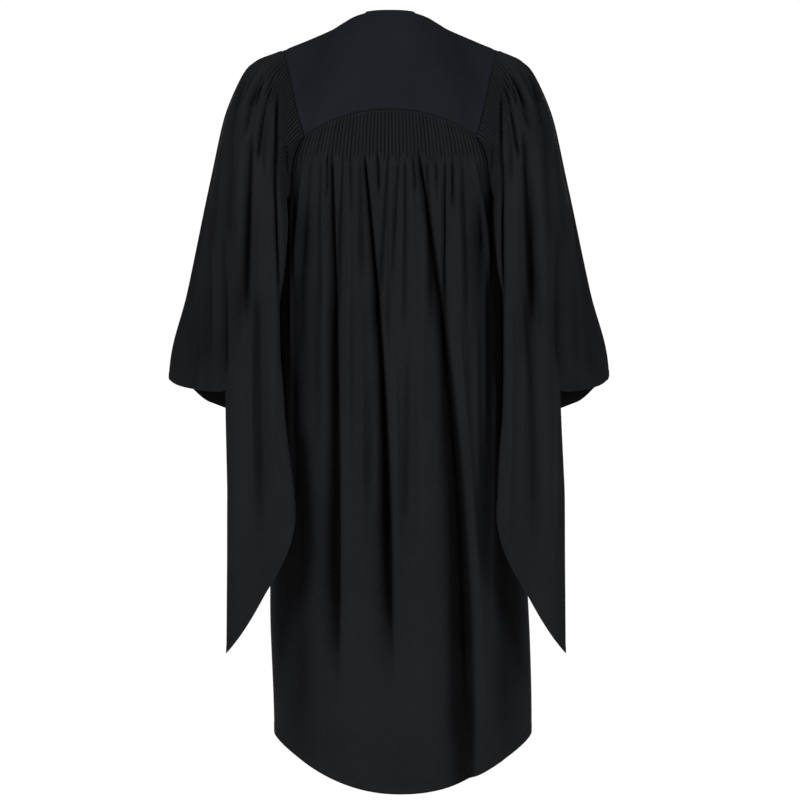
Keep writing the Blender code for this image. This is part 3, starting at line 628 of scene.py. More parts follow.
LEFT_SLEEVE_FOLDS = fold_table(
    [
        (-201, -206, -213, 158, 472, -15, 3, 11.5, 0.45),
        (-166, -165, -159, 98, 450, -11, 2, 3, 0),
        (-183, -201, -217, 59, 135, -7, 1.5, 3.5, 0),
        (-189, -196, -199, 80, 129, -8, 2, 3, 0),
        (-198, -208, -214, 83, 173, -7, 2.5, 4.5, 0),
        (-183, -188, -192, 109, 219, -9, 2, 3.5, 0),
        (-175, -180, -183, 89, 127, -6, 2, 2.5, 0),
        (-222, -230, -235, 80, 167, -6, 2.5, 5, 0),
        (-178, -182, -182, 129, 248, -5, 2.5, 4.5, 0),
        (-234, -235, -238, 147, 349, -5, 4.5, 6.5, 0),
        (-248, -257, -264, 161, 349, -4, 3.5, 7, 0),
        (-172, -173, -175, 106, 226, 4, 2.5, 4.5, 0),
        (-192, -208, -221, 60, 135, 4, 2.5, 4.5, 0),
        (-208, -220, -230, 63, 121, -4, 1.5, 3, 0),
        (-196, -211, -224, 57, 127, -4, 1.5, 2.5, 0),
        (-178, -191, -204, 60, 115, -4.5, 1.5, 2.5, 0),
        (-172, -182, -189, 77, 115, -4, 1.5, 2, 0),
        (-215, -224, -232, 74, 124, -5, 1.5, 3, 0),
        (-186, -195, -198, 118, 190, 4, 2.5, 3.5, 0),
        (-185, -186, -185, 190, 450, 5, 7, 10, 0),
        (-218, -221, -224, 176, 450, 4, 6, 10, 0),
        (-243, -242, -240, 306, 546, -8, 3.5, 6.5, 0.45),
        (-192, -191, -189, 392, 797, -6.5, 4.5, 10, 0.3),
        (-175, -170, -169, 450, 696, 4, 7, 11.5, 0),
        (-214, -214, -218, 465, 783, 4, 10, 17.5, 0),
        (-269, -273, -277, 335, 522, -5, 6, 13, 0),
        (-290, -295, -299, 407, 528, -3, 4.5, 8.5, 0),
    ]
)
RIGHT_SLEEVE_FOLDS = fold_table(
    [
        (191, 198, 210, 153, 472, -15, 3, 11.5, -0.45),
        (161, 160, 162, 95, 450, -11, 2, 3, 0),
        (174, 190, 205, 60, 135, -7, 1.5, 3.5, 0),
        (178, 182, 186, 80, 127, -7, 2, 3, 0),
        (185, 195, 202, 77, 168, -7.5, 2.5, 4.5, 0),
        (172, 179, 185, 109, 216, -9, 2, 3.5, 0),
        (165, 171, 175, 89, 127, -6, 2, 2.5, 0),
        (211, 218, 226, 80, 167, -6, 2.5, 5, 0),
        (168, 172, 172, 129, 248, -5, 2.5, 4.5, 0),
        (226, 227, 230, 147, 349, -5, 4.5, 6.5, 0),
        (240, 249, 256, 161, 349, -4, 3.5, 7, 0),
        (164, 165, 166, 106, 226, 4, 2.5, 4.5, 0),
        (181, 197, 210, 60, 135, 4, 2.5, 4.5, 0),
        (201, 213, 223, 63, 121, -4, 1.5, 3, 0),
        (190, 204, 217, 57, 127, -4, 1.5, 2.5, 0),
        (171, 184, 197, 60, 115, -4.5, 1.5, 2.5, 0),
        (165, 175, 182, 77, 115, -4, 1.5, 2, 0),
        (208, 218, 225, 74, 124, -5, 1.5, 3, 0),
        (175, 184, 187, 118, 190, 4, 2.5, 3.5, 0),
        (179, 181, 179, 190, 450, 5, 7, 10, 0),
        (213, 218, 223, 176, 450, 4, 6, 10, 0),
        (240, 241, 243, 306, 546, -8, 3.5, 6.5, -0.45),
        (192, 205, 206, 392, 797, -6.5, 4.5, 10, -0.3),
        (175, 175, 174, 450, 696, 4, 7, 11.5, 0),
        (224, 226, 230, 465, 783, 4, 10, 17.5, 0),
        (266, 270, 276, 335, 522, -5, 6, 13, 0),
        (288, 292, 298, 407, 528, -3, 4.5, 8.5, 0),
    ]
)
# Folds that cross the armhole seam below the yoke's corners
SEAM_FOLDS = fold_table(
    [
        (-153.5, -151, -148.5, 170, 392, -10, 1.5, 2.5, 0),
        (149.5, 147, 144.5, 170, 392, -10, 1.5, 2.5, 0),
    ]
)


# Meshes of cloth


@dataclass
class Block:
    """A rectangular block of cloth, in rows of points."""

    points: Array
    crest: Array

    @classmethod
    def raised(
        cls, points: Array, normal: Array, push: Array, scale: float = CREST_SCALE
    ) -> "Block":
        """Return a block of points that are pushed out, with the push as their crest."""
        return cls(points + normal * push[..., None], push / scale)

    def lengths(self, start: float = 0.0, centre: int = 0) -> tuple[Array, Array]:
        """Return the lengths across and down the cloth at each point.

        Args:
            start: Length down the cloth at the first row.
            centre: Column that the lengths across are measured from.

        Returns:
            The lengths across and the lengths down.
        """
        across = np.zeros(self.crest.shape)
        down = np.full(self.crest.shape, start)
        wide, long = (np.linalg.norm(np.diff(self.points, axis=k), axis=2) for k in (1, 0))
        across[:, 1:] = np.cumsum(wide, axis=1)
        across -= across[:, centre : centre + 1]
        down[1:] += np.cumsum(long, axis=0)
        return across, down


def place_object(name: str, data: bpy.types.ID) -> bpy.types.Object:
    """Return a new object in the scene.

    Args:
        name: Name of the object.
        data: Its mesh, light or camera.

    Returns:
        The object.
    """
    thing = bpy.data.objects.new(name, data)
    bpy.context.scene.collection.objects.link(thing)
    return thing


class ClothMesh:
    """Blocks of cloth that are joined into one thin wall."""

    def __init__(self, name: str, thickness: float = CLOTH_THICKNESS) -> None:
        """Start an empty piece.

        Args:
            name: Name of the piece.
            thickness: Thickness of its wall.
        """
        self.name = name
        self.thickness = thickness
        self.points: list[Array] = []
        self.values: list[Array] = []
        self.faces: list[Array] = []
        self.count = 0

    def add(self, block: Block, across: Array, down: Array) -> None:
        """Add a block with its lengths across and down the cloth.

        Args:
            block: The block.
            across: Lengths across the cloth.
            down: Lengths down the cloth.
        """
        rows, columns = block.crest.shape
        index = np.arange(rows * columns).reshape(rows, columns) + self.count
        corners = (index[:-1, :-1], index[1:, :-1], index[1:, 1:], index[:-1, 1:])
        self.faces.append(np.stack([corner.ravel() for corner in corners], axis=1))
        self.points.append(block.points.reshape(-1, 3))
        values = (across, down, block.crest)
        self.values.append(np.stack([value.ravel() for value in values], axis=1))
        self.count += rows * columns

    def build(self, outward: Array, probe: int = 0) -> bpy.types.Object:
        """Weld the blocks and give them a wall.

        Args:
            outward: The way that the probed face points.
            probe: Number of the face that is compared with outward.

        Returns:
            The finished object, with a UV map in metres and a crest attribute.
        """
        data = bpy.data.meshes.new(self.name + "_cloth")
        faces = np.concatenate(self.faces)
        points = np.concatenate(self.points)
        values = np.concatenate(self.values)
        first = points[faces[probe]]
        if np.dot(np.cross(first[1] - first[0], first[3] - first[0]), outward) < 0:
            faces = faces[:, ::-1]
        data.from_pydata(points.tolist(), [], faces.tolist())
        for column, name in enumerate(("cloth_across", "cloth_down", "crest")):
            layer = data.attributes.new(name, "FLOAT", "POINT")
            layer.data.foreach_set("value", values[:, column].astype(np.float32))
        self._weld(data)
        data.polygons.foreach_set("use_smooth", np.ones(len(data.polygons), bool))
        self._unwrap(data)
        piece = place_object(self.name + "_cloth", data)
        area = sum(polygon.area for polygon in data.polygons)
        LOG.info("%s: %.3f square metres of cloth", piece.name, area)
        wall = piece.modifiers.new("wall", "SOLIDIFY")
        wall.thickness = self.thickness
        wall.offset = 0.0
        return piece

    @staticmethod
    def _weld(data: bpy.types.Mesh) -> None:
        """Merge the points that blocks share.

        Args:
            data: The mesh.
        """
        shell = bmesh.new()
        shell.from_mesh(data)
        bmesh.ops.remove_doubles(shell, verts=shell.verts, dist=2e-6)
        shell.to_mesh(data)
        shell.free()

    @staticmethod
    def _unwrap(data: bpy.types.Mesh) -> None:
        """Copy the cloth's lengths to a UV map, in metres.

        Args:
            data: The mesh.
        """
        corners = np.empty(len(data.loops), np.int32)
        data.loops.foreach_get("vertex_index", corners)
        uv = np.empty((len(data.loops), 2), np.float32)
        for column, name in enumerate(("cloth_across", "cloth_down")):
            values = np.empty(len(data.vertices), np.float32)
            data.attributes[name].data.foreach_get("value", values)
            uv[:, column] = values[corners]
        data.uv_layers.new(name="cloth").uv.foreach_set("vector", uv.ravel())
        for name in ("cloth_across", "cloth_down"):
            data.attributes.remove(data.attributes[name])


def surface_normals(points: Array) -> Array:
    """Return unit normals of rows of points, by their neighbours."""
    return unit(np.cross(np.gradient(points, axis=1), np.gradient(points, axis=0)))


@dataclass(frozen=True)
class Cut:
    """The flat cut of a panel: its box and its area, in metres."""

    width: float
    length: float
    area: float


class Panel:
    """A panel of the gown, with its place in the record and its cut."""

    node: str
    slot: str
    cut: Cut
    held: str = "hung"
    neighbours: tuple[str, ...] = ()
    rows_of_stitches: list[Array]

    def build(self) -> bpy.types.Object:
        """Return the panel's finished mesh."""
        raise NotImplementedError

    def sew(self, points: Array, normal: Array, push: Array, place: object = HEM_ROW) -> None:
        """Keep a row of points, raised on the cloth, for a row of stitches.

        Args:
            points: Rows of points.
            normal: Their outward normals.
            push: How far the cloth is pushed out there.
            place: Index of the row.
        """
        lift = (push[place] + STITCH_LIFT)[..., None]
        self.rows_of_stitches.append(points[place] + normal[place] * lift)

    def declare(self, piece: bpy.types.Object, others: dict[str, bpy.types.Object]) -> None:
        """Attach the finished piece to the root and hide the imported part of the same node.

        Args:
            piece: The finished panel.
            others: All panels by node.
        """
        rests = [others[name] for name in self.neighbours]
        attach(piece, "root")
        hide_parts(self.node)


@dataclass
class Yoke(Panel):
    """The smooth yoke over both shoulders, with its arched lower seam."""

    form: GownForm
    node: str = "yoke"
    slot: str = "yoke_cloth"
    cut: Cut = Cut(0.46, 0.26, 0.075)
    held: str = "stretched"
    columns: int = 236
    rows: int = 64
    back_share: float = 0.5
    arm_share: float = 0.88
    corner_turn: float = math.radians(52)
    side_turn: float = math.radians(90)
    fullness: float = 0.36
    neck_stitch_row: int = 6
    creases: tuple[tuple[float, float, float], ...] = (
        (-0.088, 0.018, -0.0006),
        (0.092, 0.018, -0.0006),
        (0.03, 0.02, -0.0005),
    )

    def edges(self, t: Array) -> tuple[Array, Array, Array, Array]:
        """Return each column's neck point, outer point and the ways between them.

        Args:
            t: Places from -1 at the left front, through 0 at the back, to 1.

        Returns:
            The points at the neck and at the outer seam, and the ways that the cloth
            leaves the one and reaches the other.
        """
        cut = self.form.yoke
        side = np.where(t < 0, -1.0, 1.0)
        reach = np.abs(t)
        back, arm = self.back_share, self.arm_share
        on_back = reach < back
        on_arm = (reach >= back) & (reach < arm)
        along = np.where(on_arm, (reach - back) / (arm - back), (reach - arm) / (1 - arm))
        along = np.where(on_back, reach / back, along)
        forward = math.asin(cut.front_reach * 0.85 / cut.neck_back_depth)
        corner, beside = self.corner_turn, self.side_turn
        angle = np.where(on_back, mix(0.0, corner, along), mix(corner, beside, along))
        angle = np.where(on_back | on_arm, angle, beside + forward * along)
        key = np.where(on_arm, CORNER_KEY * (1 - along), mix(8.0, cut.front_key, along))
        key = np.where(on_back, CORNER_KEY, key)
        left = self.form.armhole(key, Side.LEFT)
        right = self.form.armhole(key, Side.RIGHT)
        seam = np.where((side < 0)[..., None], left, right)
        arch = self.form.arch(side * cut.corner_x * np.where(on_back, along, 0.0))
        outer = np.where(on_back[..., None], arch, seam)
        turned = side * angle
        rise = mix(cut.neck_back_rise, cut.neck_side_rise, np.abs(np.sin(turned)) ** 3)
        front = np.maximum(-np.cos(turned), 0.0)
        x = cut.neck_half_width * np.sin(turned) + float(self.form.lean(np.array(0.0)))
        near = np.stack([x, -cut.neck_back_depth * np.cos(turned), rise - 0.02 * front], axis=-1)
        slope = mix(-0.9, -0.5, np.sin(np.minimum(angle, math.pi / 2)))
        start = np.stack([side * np.sin(angle), -np.cos(angle) * 0.8, slope], axis=-1)
        low = self.outer_way(side, along, on_back, on_arm)
        return near, outer, unit(start), unit(low)

    @staticmethod
    def outer_way(side: Array, along: Array, on_back: Array, on_arm: Array) -> Array:
        """Return the way of the cloth at the outer seam.

        Args:
            side: Sign of x.
            along: Place along the arch, the armhole or the front edge, from 0 to 1.
            on_back: Whether the column ends at the arch.
            on_arm: Whether it ends at the armhole.

        Returns:
            The ways, with a last axis of three.
        """
        flat = np.ones_like(along)
        back = (side * 0.45 * along, flat * -0.06, -flat)
        arm = (side * mix(0.45, 1.0, along), mix(-0.06, 0.0, along), mix(-1.0, -0.45, along))
        front = (side, 0.1 * along, flat * -0.5)
        back, arm, front = (np.stack(way, axis=-1) for way in (back, arm, front))
        return np.where(on_back[..., None], back, np.where(on_arm[..., None], arm, front))

    def surface(self, t: Array, across: Array) -> Array:
        """Return points of the yoke; across is 0 at the neck and 1 at the outer seam.

        Args:
            t: Places as for edges.
            across: Places from the neck to the outer seam.

        Returns:
            The points, with a last axis of three.
        """
        near, outer, start, low = self.edges(t)
        length = np.linalg.norm(outer - near, axis=-1, keepdims=True)
        first = near + start * length * self.fullness
        second = outer - low * length * self.fullness
        return bezier(near, first, second, outer, across[..., None])

    def build(self) -> bpy.types.Object:
        """Return the yoke, pulled smooth, with its edges turned in at the seams.

        Returns:
            The finished object.
        """
        t = np.linspace(-1.0, 1.0, self.columns + 1)
        across = np.linspace(0.0, 1.0, self.rows + 1)
        seam_rows = [0.975, 0.985, 0.992, 0.9975]
        across = np.concatenate([[0.0, 0.004, 0.010], across[1:-2], seam_rows])
        self.rows_of_stitches = []
        near, outer, _, _ = self.edges(t)
        reach = np.linalg.norm(outer - near, axis=-1)
        grid_t, grid_a = np.meshgrid(t, across)
        points = self.surface(grid_t, grid_a)
        normal = surface_normals(points)
        normal *= np.where(normal[..., 1:2] > 0.5, -1.0, 1.0)
        if normal[self.rows // 2, self.columns // 2, 1] > 0:
            normal = -normal
        from_seam = (1 - grid_a) * reach
        from_neck = grid_a * reach
        push = -0.0007 * np.exp(-((from_seam / 0.0016) ** 2))
        push += 0.0005 * np.exp(-(((from_seam - 0.0045) / 0.003) ** 2))
        push += 0.0007 * ease(1 - from_neck / 0.002) + FACING_THICKNESS * (from_neck < 0.010)
        x = points[..., 0]
        drop = -points[..., 2]
        soft = np.sin(x * 46 + 1.3) * np.sin(drop * 38 + 0.4)
        push += 0.0006 * soft * ease(from_seam / 0.03) * ease(from_neck / 0.03)
        for place, width, deep in self.creases:
            away = (x - place - 0.25 * (drop - 0.08)) / width
            fade = ease((drop - 0.03) / 0.05)
            push += deep * np.exp(-away * away) * fade * ease(from_seam / 0.02)
        self.sew(points, normal, push, self.neck_stitch_row)
        block = Block.raised(points, normal, push, YOKE_CREST_SCALE)
        mesh = ClothMesh(self.node, YOKE_THICKNESS)
        mesh.add(block, *block.lengths(0.0, self.columns // 2))
        middle = (self.rows // 2) * self.columns + self.columns // 2
        return mesh.build(np.array([0.0, -1.0, 0.3]), middle)


@dataclass
class BackPanel(Panel):
    """The back, fluted into the arch of the yoke and falling in folds."""

    form: GownForm
    node: str = "back_panel"
    slot: str = "gown_cloth"
    cut: Cut = Cut(0.64, 1.00, 0.58)
    held: str = "gathered"
    neighbours: tuple[str, ...] = ("yoke",)
    flutes: int = 51
    flute_samples: int = 8
    side_columns: int = 38
    flute_height: float = 0.0020

    def centre(self, v: Array, fall: Array) -> tuple[Array, Array]:
        """Return points and normals between the two lines below the yoke's corners.

        Args:
            v: Places from -1 to 1, which are the lines that follow the armholes.
            fall: 0 at the yoke, 1 where the flutes end, 2 below the armhole, 3 at the hem.

        Returns:
            Points and normals, each with a last axis of three.
        """
        form = self.form
        side = np.where(v < 0, -1.0, 1.0)
        reach = np.abs(v)
        turn = form.turn_drop
        arch = form.arch_drop(reach * form.yoke.corner_x)
        in_band = fall <= 1.0
        line = np.where(
            in_band,
            mix(form.yoke.corner_drop, FLUTE_END_DROP, fall),
            mix(FLUTE_END_DROP, turn, np.minimum(fall, 2.0) - 1.0),
        )
        drop = np.where(in_band, mix(arch, FLUTE_END_DROP, fall), line)
        edge = form.armhole_x(form.beside_key(line))
        share = side * form.share_of_x(reach * edge, drop, Face.BACK)
        down = np.clip(fall - 2.0, 0.0, 1.0)
        hem_share = reach * LINE_HEM_SHARE
        drop = np.where(fall > 2.0, mix(turn, form.hem_drop(hem_share), down), drop)
        share = np.where(fall > 2.0, mix(share, side * hem_share, spread_at(down)), share)
        return form.section(share, drop, Face.BACK)

    def side(self, v: Array, fall: Array, side: Side) -> tuple[Array, Array]:
        """Return points and normals from one of those lines, at 1, to the side seam, at 2.

        Args:
            v: Places from 1 to 2.
            fall: 2 at the armhole and 3 at the hem.
            side: Which side of the back.

        Returns:
            Points and normals, each with a last axis of three.
        """
        form = self.form
        out = v - 1.0
        top = form.armhole(mix(TURN_KEY, SIDE_SEAM_KEY, out), side)
        top_drop = -top[..., 2]
        top_x = top[..., 0] - form.lean(top_drop)
        top_share = np.abs(form.share_of_x(top_x, top_drop, Face.BACK))
        top_share = side.value * mix(top_share, 1.0, out**3)
        hem_share = mix(LINE_HEM_SHARE, 1.0, out)
        down = np.clip(fall - 2.0, 0.0, 1.0)
        drop = mix(top_drop, form.hem_drop(hem_share), down)
        share = mix(top_share, side.value * hem_share, spread_at(down))
        points, normal = form.section(share, drop, Face.BACK)
        shift = top - form.section(top_share, top_drop, Face.BACK)[0]
        return points + shift * (1 - ease((drop - top_drop) / SEAM_SETTLE))[..., None], normal

    def flute_push(self, v: Array, drop: Array) -> Array:
        """Return the push of the flutes below the arch.

        Args:
            v: Places from -1 to 1.
            drop: Drops of the places.

        Returns:
            The pushes.
        """
        arch = self.form.arch_drop(np.abs(v) * self.form.yoke.corner_x)
        place = (v + 1) / 2
        end = FLUTE_END_DROP + 0.002 + 0.009 * ripple(place, 51, 5)
        end = end + 0.016 * ease((np.abs(v) - 0.80) / 0.2)
        wave = flute_wave(place * self.flutes)
        strength = ease((drop - arch) / 0.004) * (1 - ease((drop - end) / 0.014))
        strength = strength * (0.85 + 0.25 * ripple(place, 40, 11))
        return self.flute_height * wave * strength * ease((1 - np.abs(v)) / 0.03)

    def folds(self, points: Array, v: Array) -> Array:
        """Return the push of the folds at points of the panel.

        Args:
            points: The points.
            v: Their places across.

        Returns:
            The pushes.
        """
        drop = -points[..., 2]
        x = points[..., 0]
        arch = self.form.arch_drop(np.clip(np.abs(v), 0.0, 1.0) * self.form.yoke.corner_x)
        calm = ease((drop - arch - 0.004) / 0.02)
        turn = self.form.turn_drop
        beside = ease((np.abs(v) - 0.86) / 0.14)
        calm = calm * mix(1.0, ease((drop - turn) / SEAM_CALM), beside)
        soft = soft_folds(31, 26, 0.0, 150.0)
        return (fold_push(BACK_FOLDS, x, drop) + fold_push(soft, x, drop)) * calm

    def build(self) -> bpy.types.Object:
        """Return the back with its flutes, folds and turned hem.

        Returns:
            The finished object.
        """
        half = self.flutes * self.flute_samples
        v = np.linspace(-1.0, 1.0, half + 1)
        band = np.concatenate([[-0.1, -0.02, 0.008, 0.02, 0.04, 0.07], np.linspace(0.1, 1.0, 19)])
        below = np.linspace(1.0, 2.0, 13)[1:-1]
        hang = np.linspace(0.0, 1.0, 54)[1:-1] ** 1.08
        hang = 2.0 + np.concatenate([[0.0007], hang, [0.9835, 0.988, 0.997, 1.0]])
        falls = np.concatenate([band, below, hang])
        grid_v, grid_f = np.meshgrid(v, falls)
        grid_v = grid_v * mix(0.9966, 1.0, ease((grid_f - 1.9) / 0.1))
        points, normal = self.centre(grid_v, grid_f)
        drop = -points[..., 2]
        push = self.folds(points, grid_v) + self.flute_push(grid_v, drop)
        push = push + self.hem_push(grid_f)
        arch = self.form.arch_drop(np.abs(grid_v) * self.form.yoke.corner_x)
        push = push - 0.0008 * np.exp(-(((drop - arch) / 0.0025) ** 2))
        push = push - 0.0016 * (grid_f < 0.0)
        points = points + seam_shift(points)
        self.rows_of_stitches = []
        self.sew(points, normal, push)
        block = Block.raised(points, normal, push)
        across, down = block.lengths(0.0, half // 2)
        mesh = ClothMesh(self.node)
        mesh.add(block, across, down)
        first = len(band) + len(below)
        out = np.linspace(1.0, 2.0, self.side_columns + 1)
        for side in Side:
            grid_v, grid_f = np.meshgrid(out, hang)
            points, normal = self.side(grid_v, grid_f, side)
            points[:, -1, 0] += 0.0003 * side.value
            drop = -points[..., 2]
            key = mix(TURN_KEY, SIDE_SEAM_KEY, grid_v - 1.0)
            turn = -self.form.armhole(key, side)[..., 2]
            calm = ease((drop - turn) / SEAM_CALM)
            push = self.folds(points, side.value * grid_v) * calm
            beside = mix(ease((3.4 - key) / 0.3), 1.0, calm)
            points = points + seam_shift(points) * beside[..., None]
            push = push + self.hem_push(grid_f)
            self.sew(points, normal, push)
            flank = Block.raised(points, normal, push)
            edge = -1 if side is Side.RIGHT else 0
            wide, long = flank.lengths()
            wide = side.value * wide + across[first:, edge][:, None]
            long = long + down[first, edge]
            if side is Side.LEFT:
                flank = Block(flank.points[:, ::-1], flank.crest[:, ::-1])
                wide, long = wide[:, ::-1], long[:, ::-1]
            mesh.add(flank, wide, long)
        return mesh.build(BACKWARDS, 60 * half + half // 2)

    @staticmethod
    def hem_push(fall: Array) -> Array:
        """Return the push of the hem's second layer, up to its row of stitches."""
        return 0.0003 * ease((fall - 2.984) / 0.003)


@dataclass
class Front(Panel):
    """One hidden front, which hangs straight beside the open edge."""

    form: GownForm
    side: Side
    node: str = ""
    slot: str = "gown_cloth"
    cut: Cut = Cut(0.25, 1.08, 0.205)
    neighbours: tuple[str, ...] = ("yoke", "back_panel")
    outer_columns: int = 54
    inner_columns: int = 62
    facing: float = 0.955

    def __post_init__(self) -> None:
        """Name the front for its side."""
        self.node = "front_" + self.side.name.lower()

    def below(self, u: Array, level: Array) -> tuple[Array, Array]:
        """Return points and normals below the chest, from side seam 0 to open edge 1.

        Args:
            u: Places from 0 to 1.
            level: 0 at the chest and 1 at the hem.

        Returns:
            Points and normals, each with a last axis of three.
        """
        form, sign = self.form, self.side.value
        chest = -float(form.armhole(np.array(FRONT_CORNER_KEY), self.side)[2])
        along = np.clip(u / FRONT_ARMHOLE_REACH, 0.0, 1.0)
        arm = form.armhole(mix(SIDE_SEAM_KEY, FRONT_CORNER_KEY, along), self.side)
        arm_drop = -arm[..., 2]
        arm_x = arm[..., 0] - form.lean(arm_drop)
        arm_share = np.abs(form.share_of_x(arm_x, arm_drop, Face.FRONT))
        arm_share = mix(arm_share, 1.0, (1 - along) ** 3)
        inside = u >= FRONT_ARMHOLE_REACH
        across = np.clip((u - FRONT_ARMHOLE_REACH) / (1 - FRONT_ARMHOLE_REACH), 0.0, 1.0)
        corner_x = float(form.armhole(np.array(FRONT_CORNER_KEY), Side.RIGHT)[0])
        wide = np.full(u.shape, abs(corner_x - float(form.lean(np.array(chest)))))
        narrow = np.full(u.shape, form.hem.open_half_width)
        chest_drop = np.full(u.shape, chest)
        corner = form.share_of_x(wide, chest_drop, Face.FRONT)
        open_top = form.share_of_x(narrow, chest_drop, Face.FRONT)
        chest_share = mix(corner, open_top, across)
        top_share = np.where(inside, chest_share, arm_share)
        top_drop = np.where(inside, chest, arm_drop)
        chest_points, _ = form.section(sign * chest_share, chest_drop, Face.FRONT)
        top = np.where(inside[..., None], chest_points, arm)
        end = form.hem.drop - form.hem.side_rise - form.hem.front_rise * ease(u)
        open_low = form.share_of_x(narrow, end, Face.FRONT)
        drop = mix(top_drop, end, level)
        share = sign * mix(top_share, mix(1.0, open_low, u), spread_at(level))
        points, normal = form.section(share, drop, Face.FRONT)
        shift = top - form.section(sign * top_share, top_drop, Face.FRONT)[0]
        return points + shift * (1 - ease((drop - top_drop) / SEAM_SETTLE))[..., None], normal

    def chest(self, yoke: Yoke, u: Array, level: Array) -> Array:
        """Return points between the yoke, at level 0, and the chest, at level 1.

        Args:
            yoke: The yoke that the front hangs from.
            u: Places from the armhole to the open edge.
            level: Levels from 0 to 1.

        Returns:
            The points, with a last axis of three.
        """
        across = (1 - u) / (1 - FRONT_ARMHOLE_REACH)
        top = yoke.surface(np.full(u.shape, float(self.side.value)), across)
        low, _ = self.below(u, np.zeros(u.shape))
        length = np.linalg.norm(low - top, axis=-1, keepdims=True)
        first = top + np.array([0.0, 0.28, -0.20]) * length
        second = low + np.array([0.0, 0.0, 0.34]) * length
        points = bezier(top, first, second, low, level[..., None])
        key = mix(self.form.yoke.front_key, FRONT_CORNER_KEY, level)
        arm = self.form.armhole(key, self.side)
        return np.where((across > 0.999)[..., None], arm, points)

    def build(self) -> bpy.types.Object:
        """Return the front with its folds, hem and turned open edge.

        Returns:
            The finished object.
        """
        yoke = Yoke(self.form)
        reach = FRONT_ARMHOLE_REACH
        inner = mix(reach, 1.0, np.linspace(0.0, 1.0, self.inner_columns + 1))
        outer = reach * np.linspace(0.0, 1.0, self.outer_columns + 1)
        u = np.concatenate([outer[:-1], inner])
        levels = np.linspace(0.0, 1.0, 66)[1:-1] ** 1.15
        levels = np.concatenate([[0.0006], levels, [0.986, 0.99, 0.997, 1.0]])
        grid_u, grid_l = np.meshgrid(u, levels)
        points, normal = self.below(grid_u, grid_l)
        points[:, 0] += np.array([-0.0007 * self.side.value, -0.0012, 0.0])
        drop = -points[..., 2]
        x = np.abs(points[..., 0] - self.form.lean(drop))
        seam = drop[:1]
        calm = mix(ease((drop - seam) / SEAM_CALM), 1.0, ease((grid_u - reach - 0.05) / 0.1))
        hem = HEM_THICKNESS * ease((grid_l - 0.984) / 0.003)
        push = fold_push(FRONT_FOLDS, x, drop) * calm + hem
        push = push + FACING_THICKNESS * (grid_u > self.facing)
        self.rows_of_stitches = []
        self.sew(points, normal, push)
        self.sew(points, normal, push, np.s_[:-3, -5])
        lower = Block.raised(points, normal, push)
        across, down = lower.lengths()
        steps = np.concatenate([[0.004, 0.012, 0.03], np.linspace(0.0, 1.0, 34)[2:]])
        grid_u, grid_l = np.meshgrid(inner, steps)
        points = self.chest(yoke, grid_u, grid_l)
        points[:, 0] += np.array([-self.side.value * 0.6, 0.0, -0.8]) * SEAM_GAP
        normal = surface_normals(points)
        facing = normal[len(steps) // 2, len(inner) // 2, 1]
        normal *= -1.0 if facing < 0 else 1.0
        drop = -points[..., 2]
        x = np.abs(points[..., 0] - self.form.lean(drop))
        edge = ease((grid_u - reach) / 0.12)
        calm = mix(edge, 1.0, ease((grid_u - reach - 0.05) / 0.1) * edge)
        push = fold_push(FRONT_FOLDS, x, drop) * calm
        push = push * ease(grid_l / 0.2) + FACING_THICKNESS * (grid_u > self.facing)
        points = points + normal * push[..., None]
        points[-1] = lower.points[0, self.outer_columns :]
        upper = Block(points, push / CREST_SCALE)
        wide, long = upper.lengths()
        long = long - long[-1] + down[0, self.outer_columns :]
        wide = wide + across[0, self.outer_columns]
        mesh = ClothMesh(self.node)
        mesh.add(lower, across, down)
        mesh.add(upper, wide, long)
        middle = 30 * (len(u) - 1) + len(u) * 3 // 4
        return mesh.build(-BACKWARDS, middle)


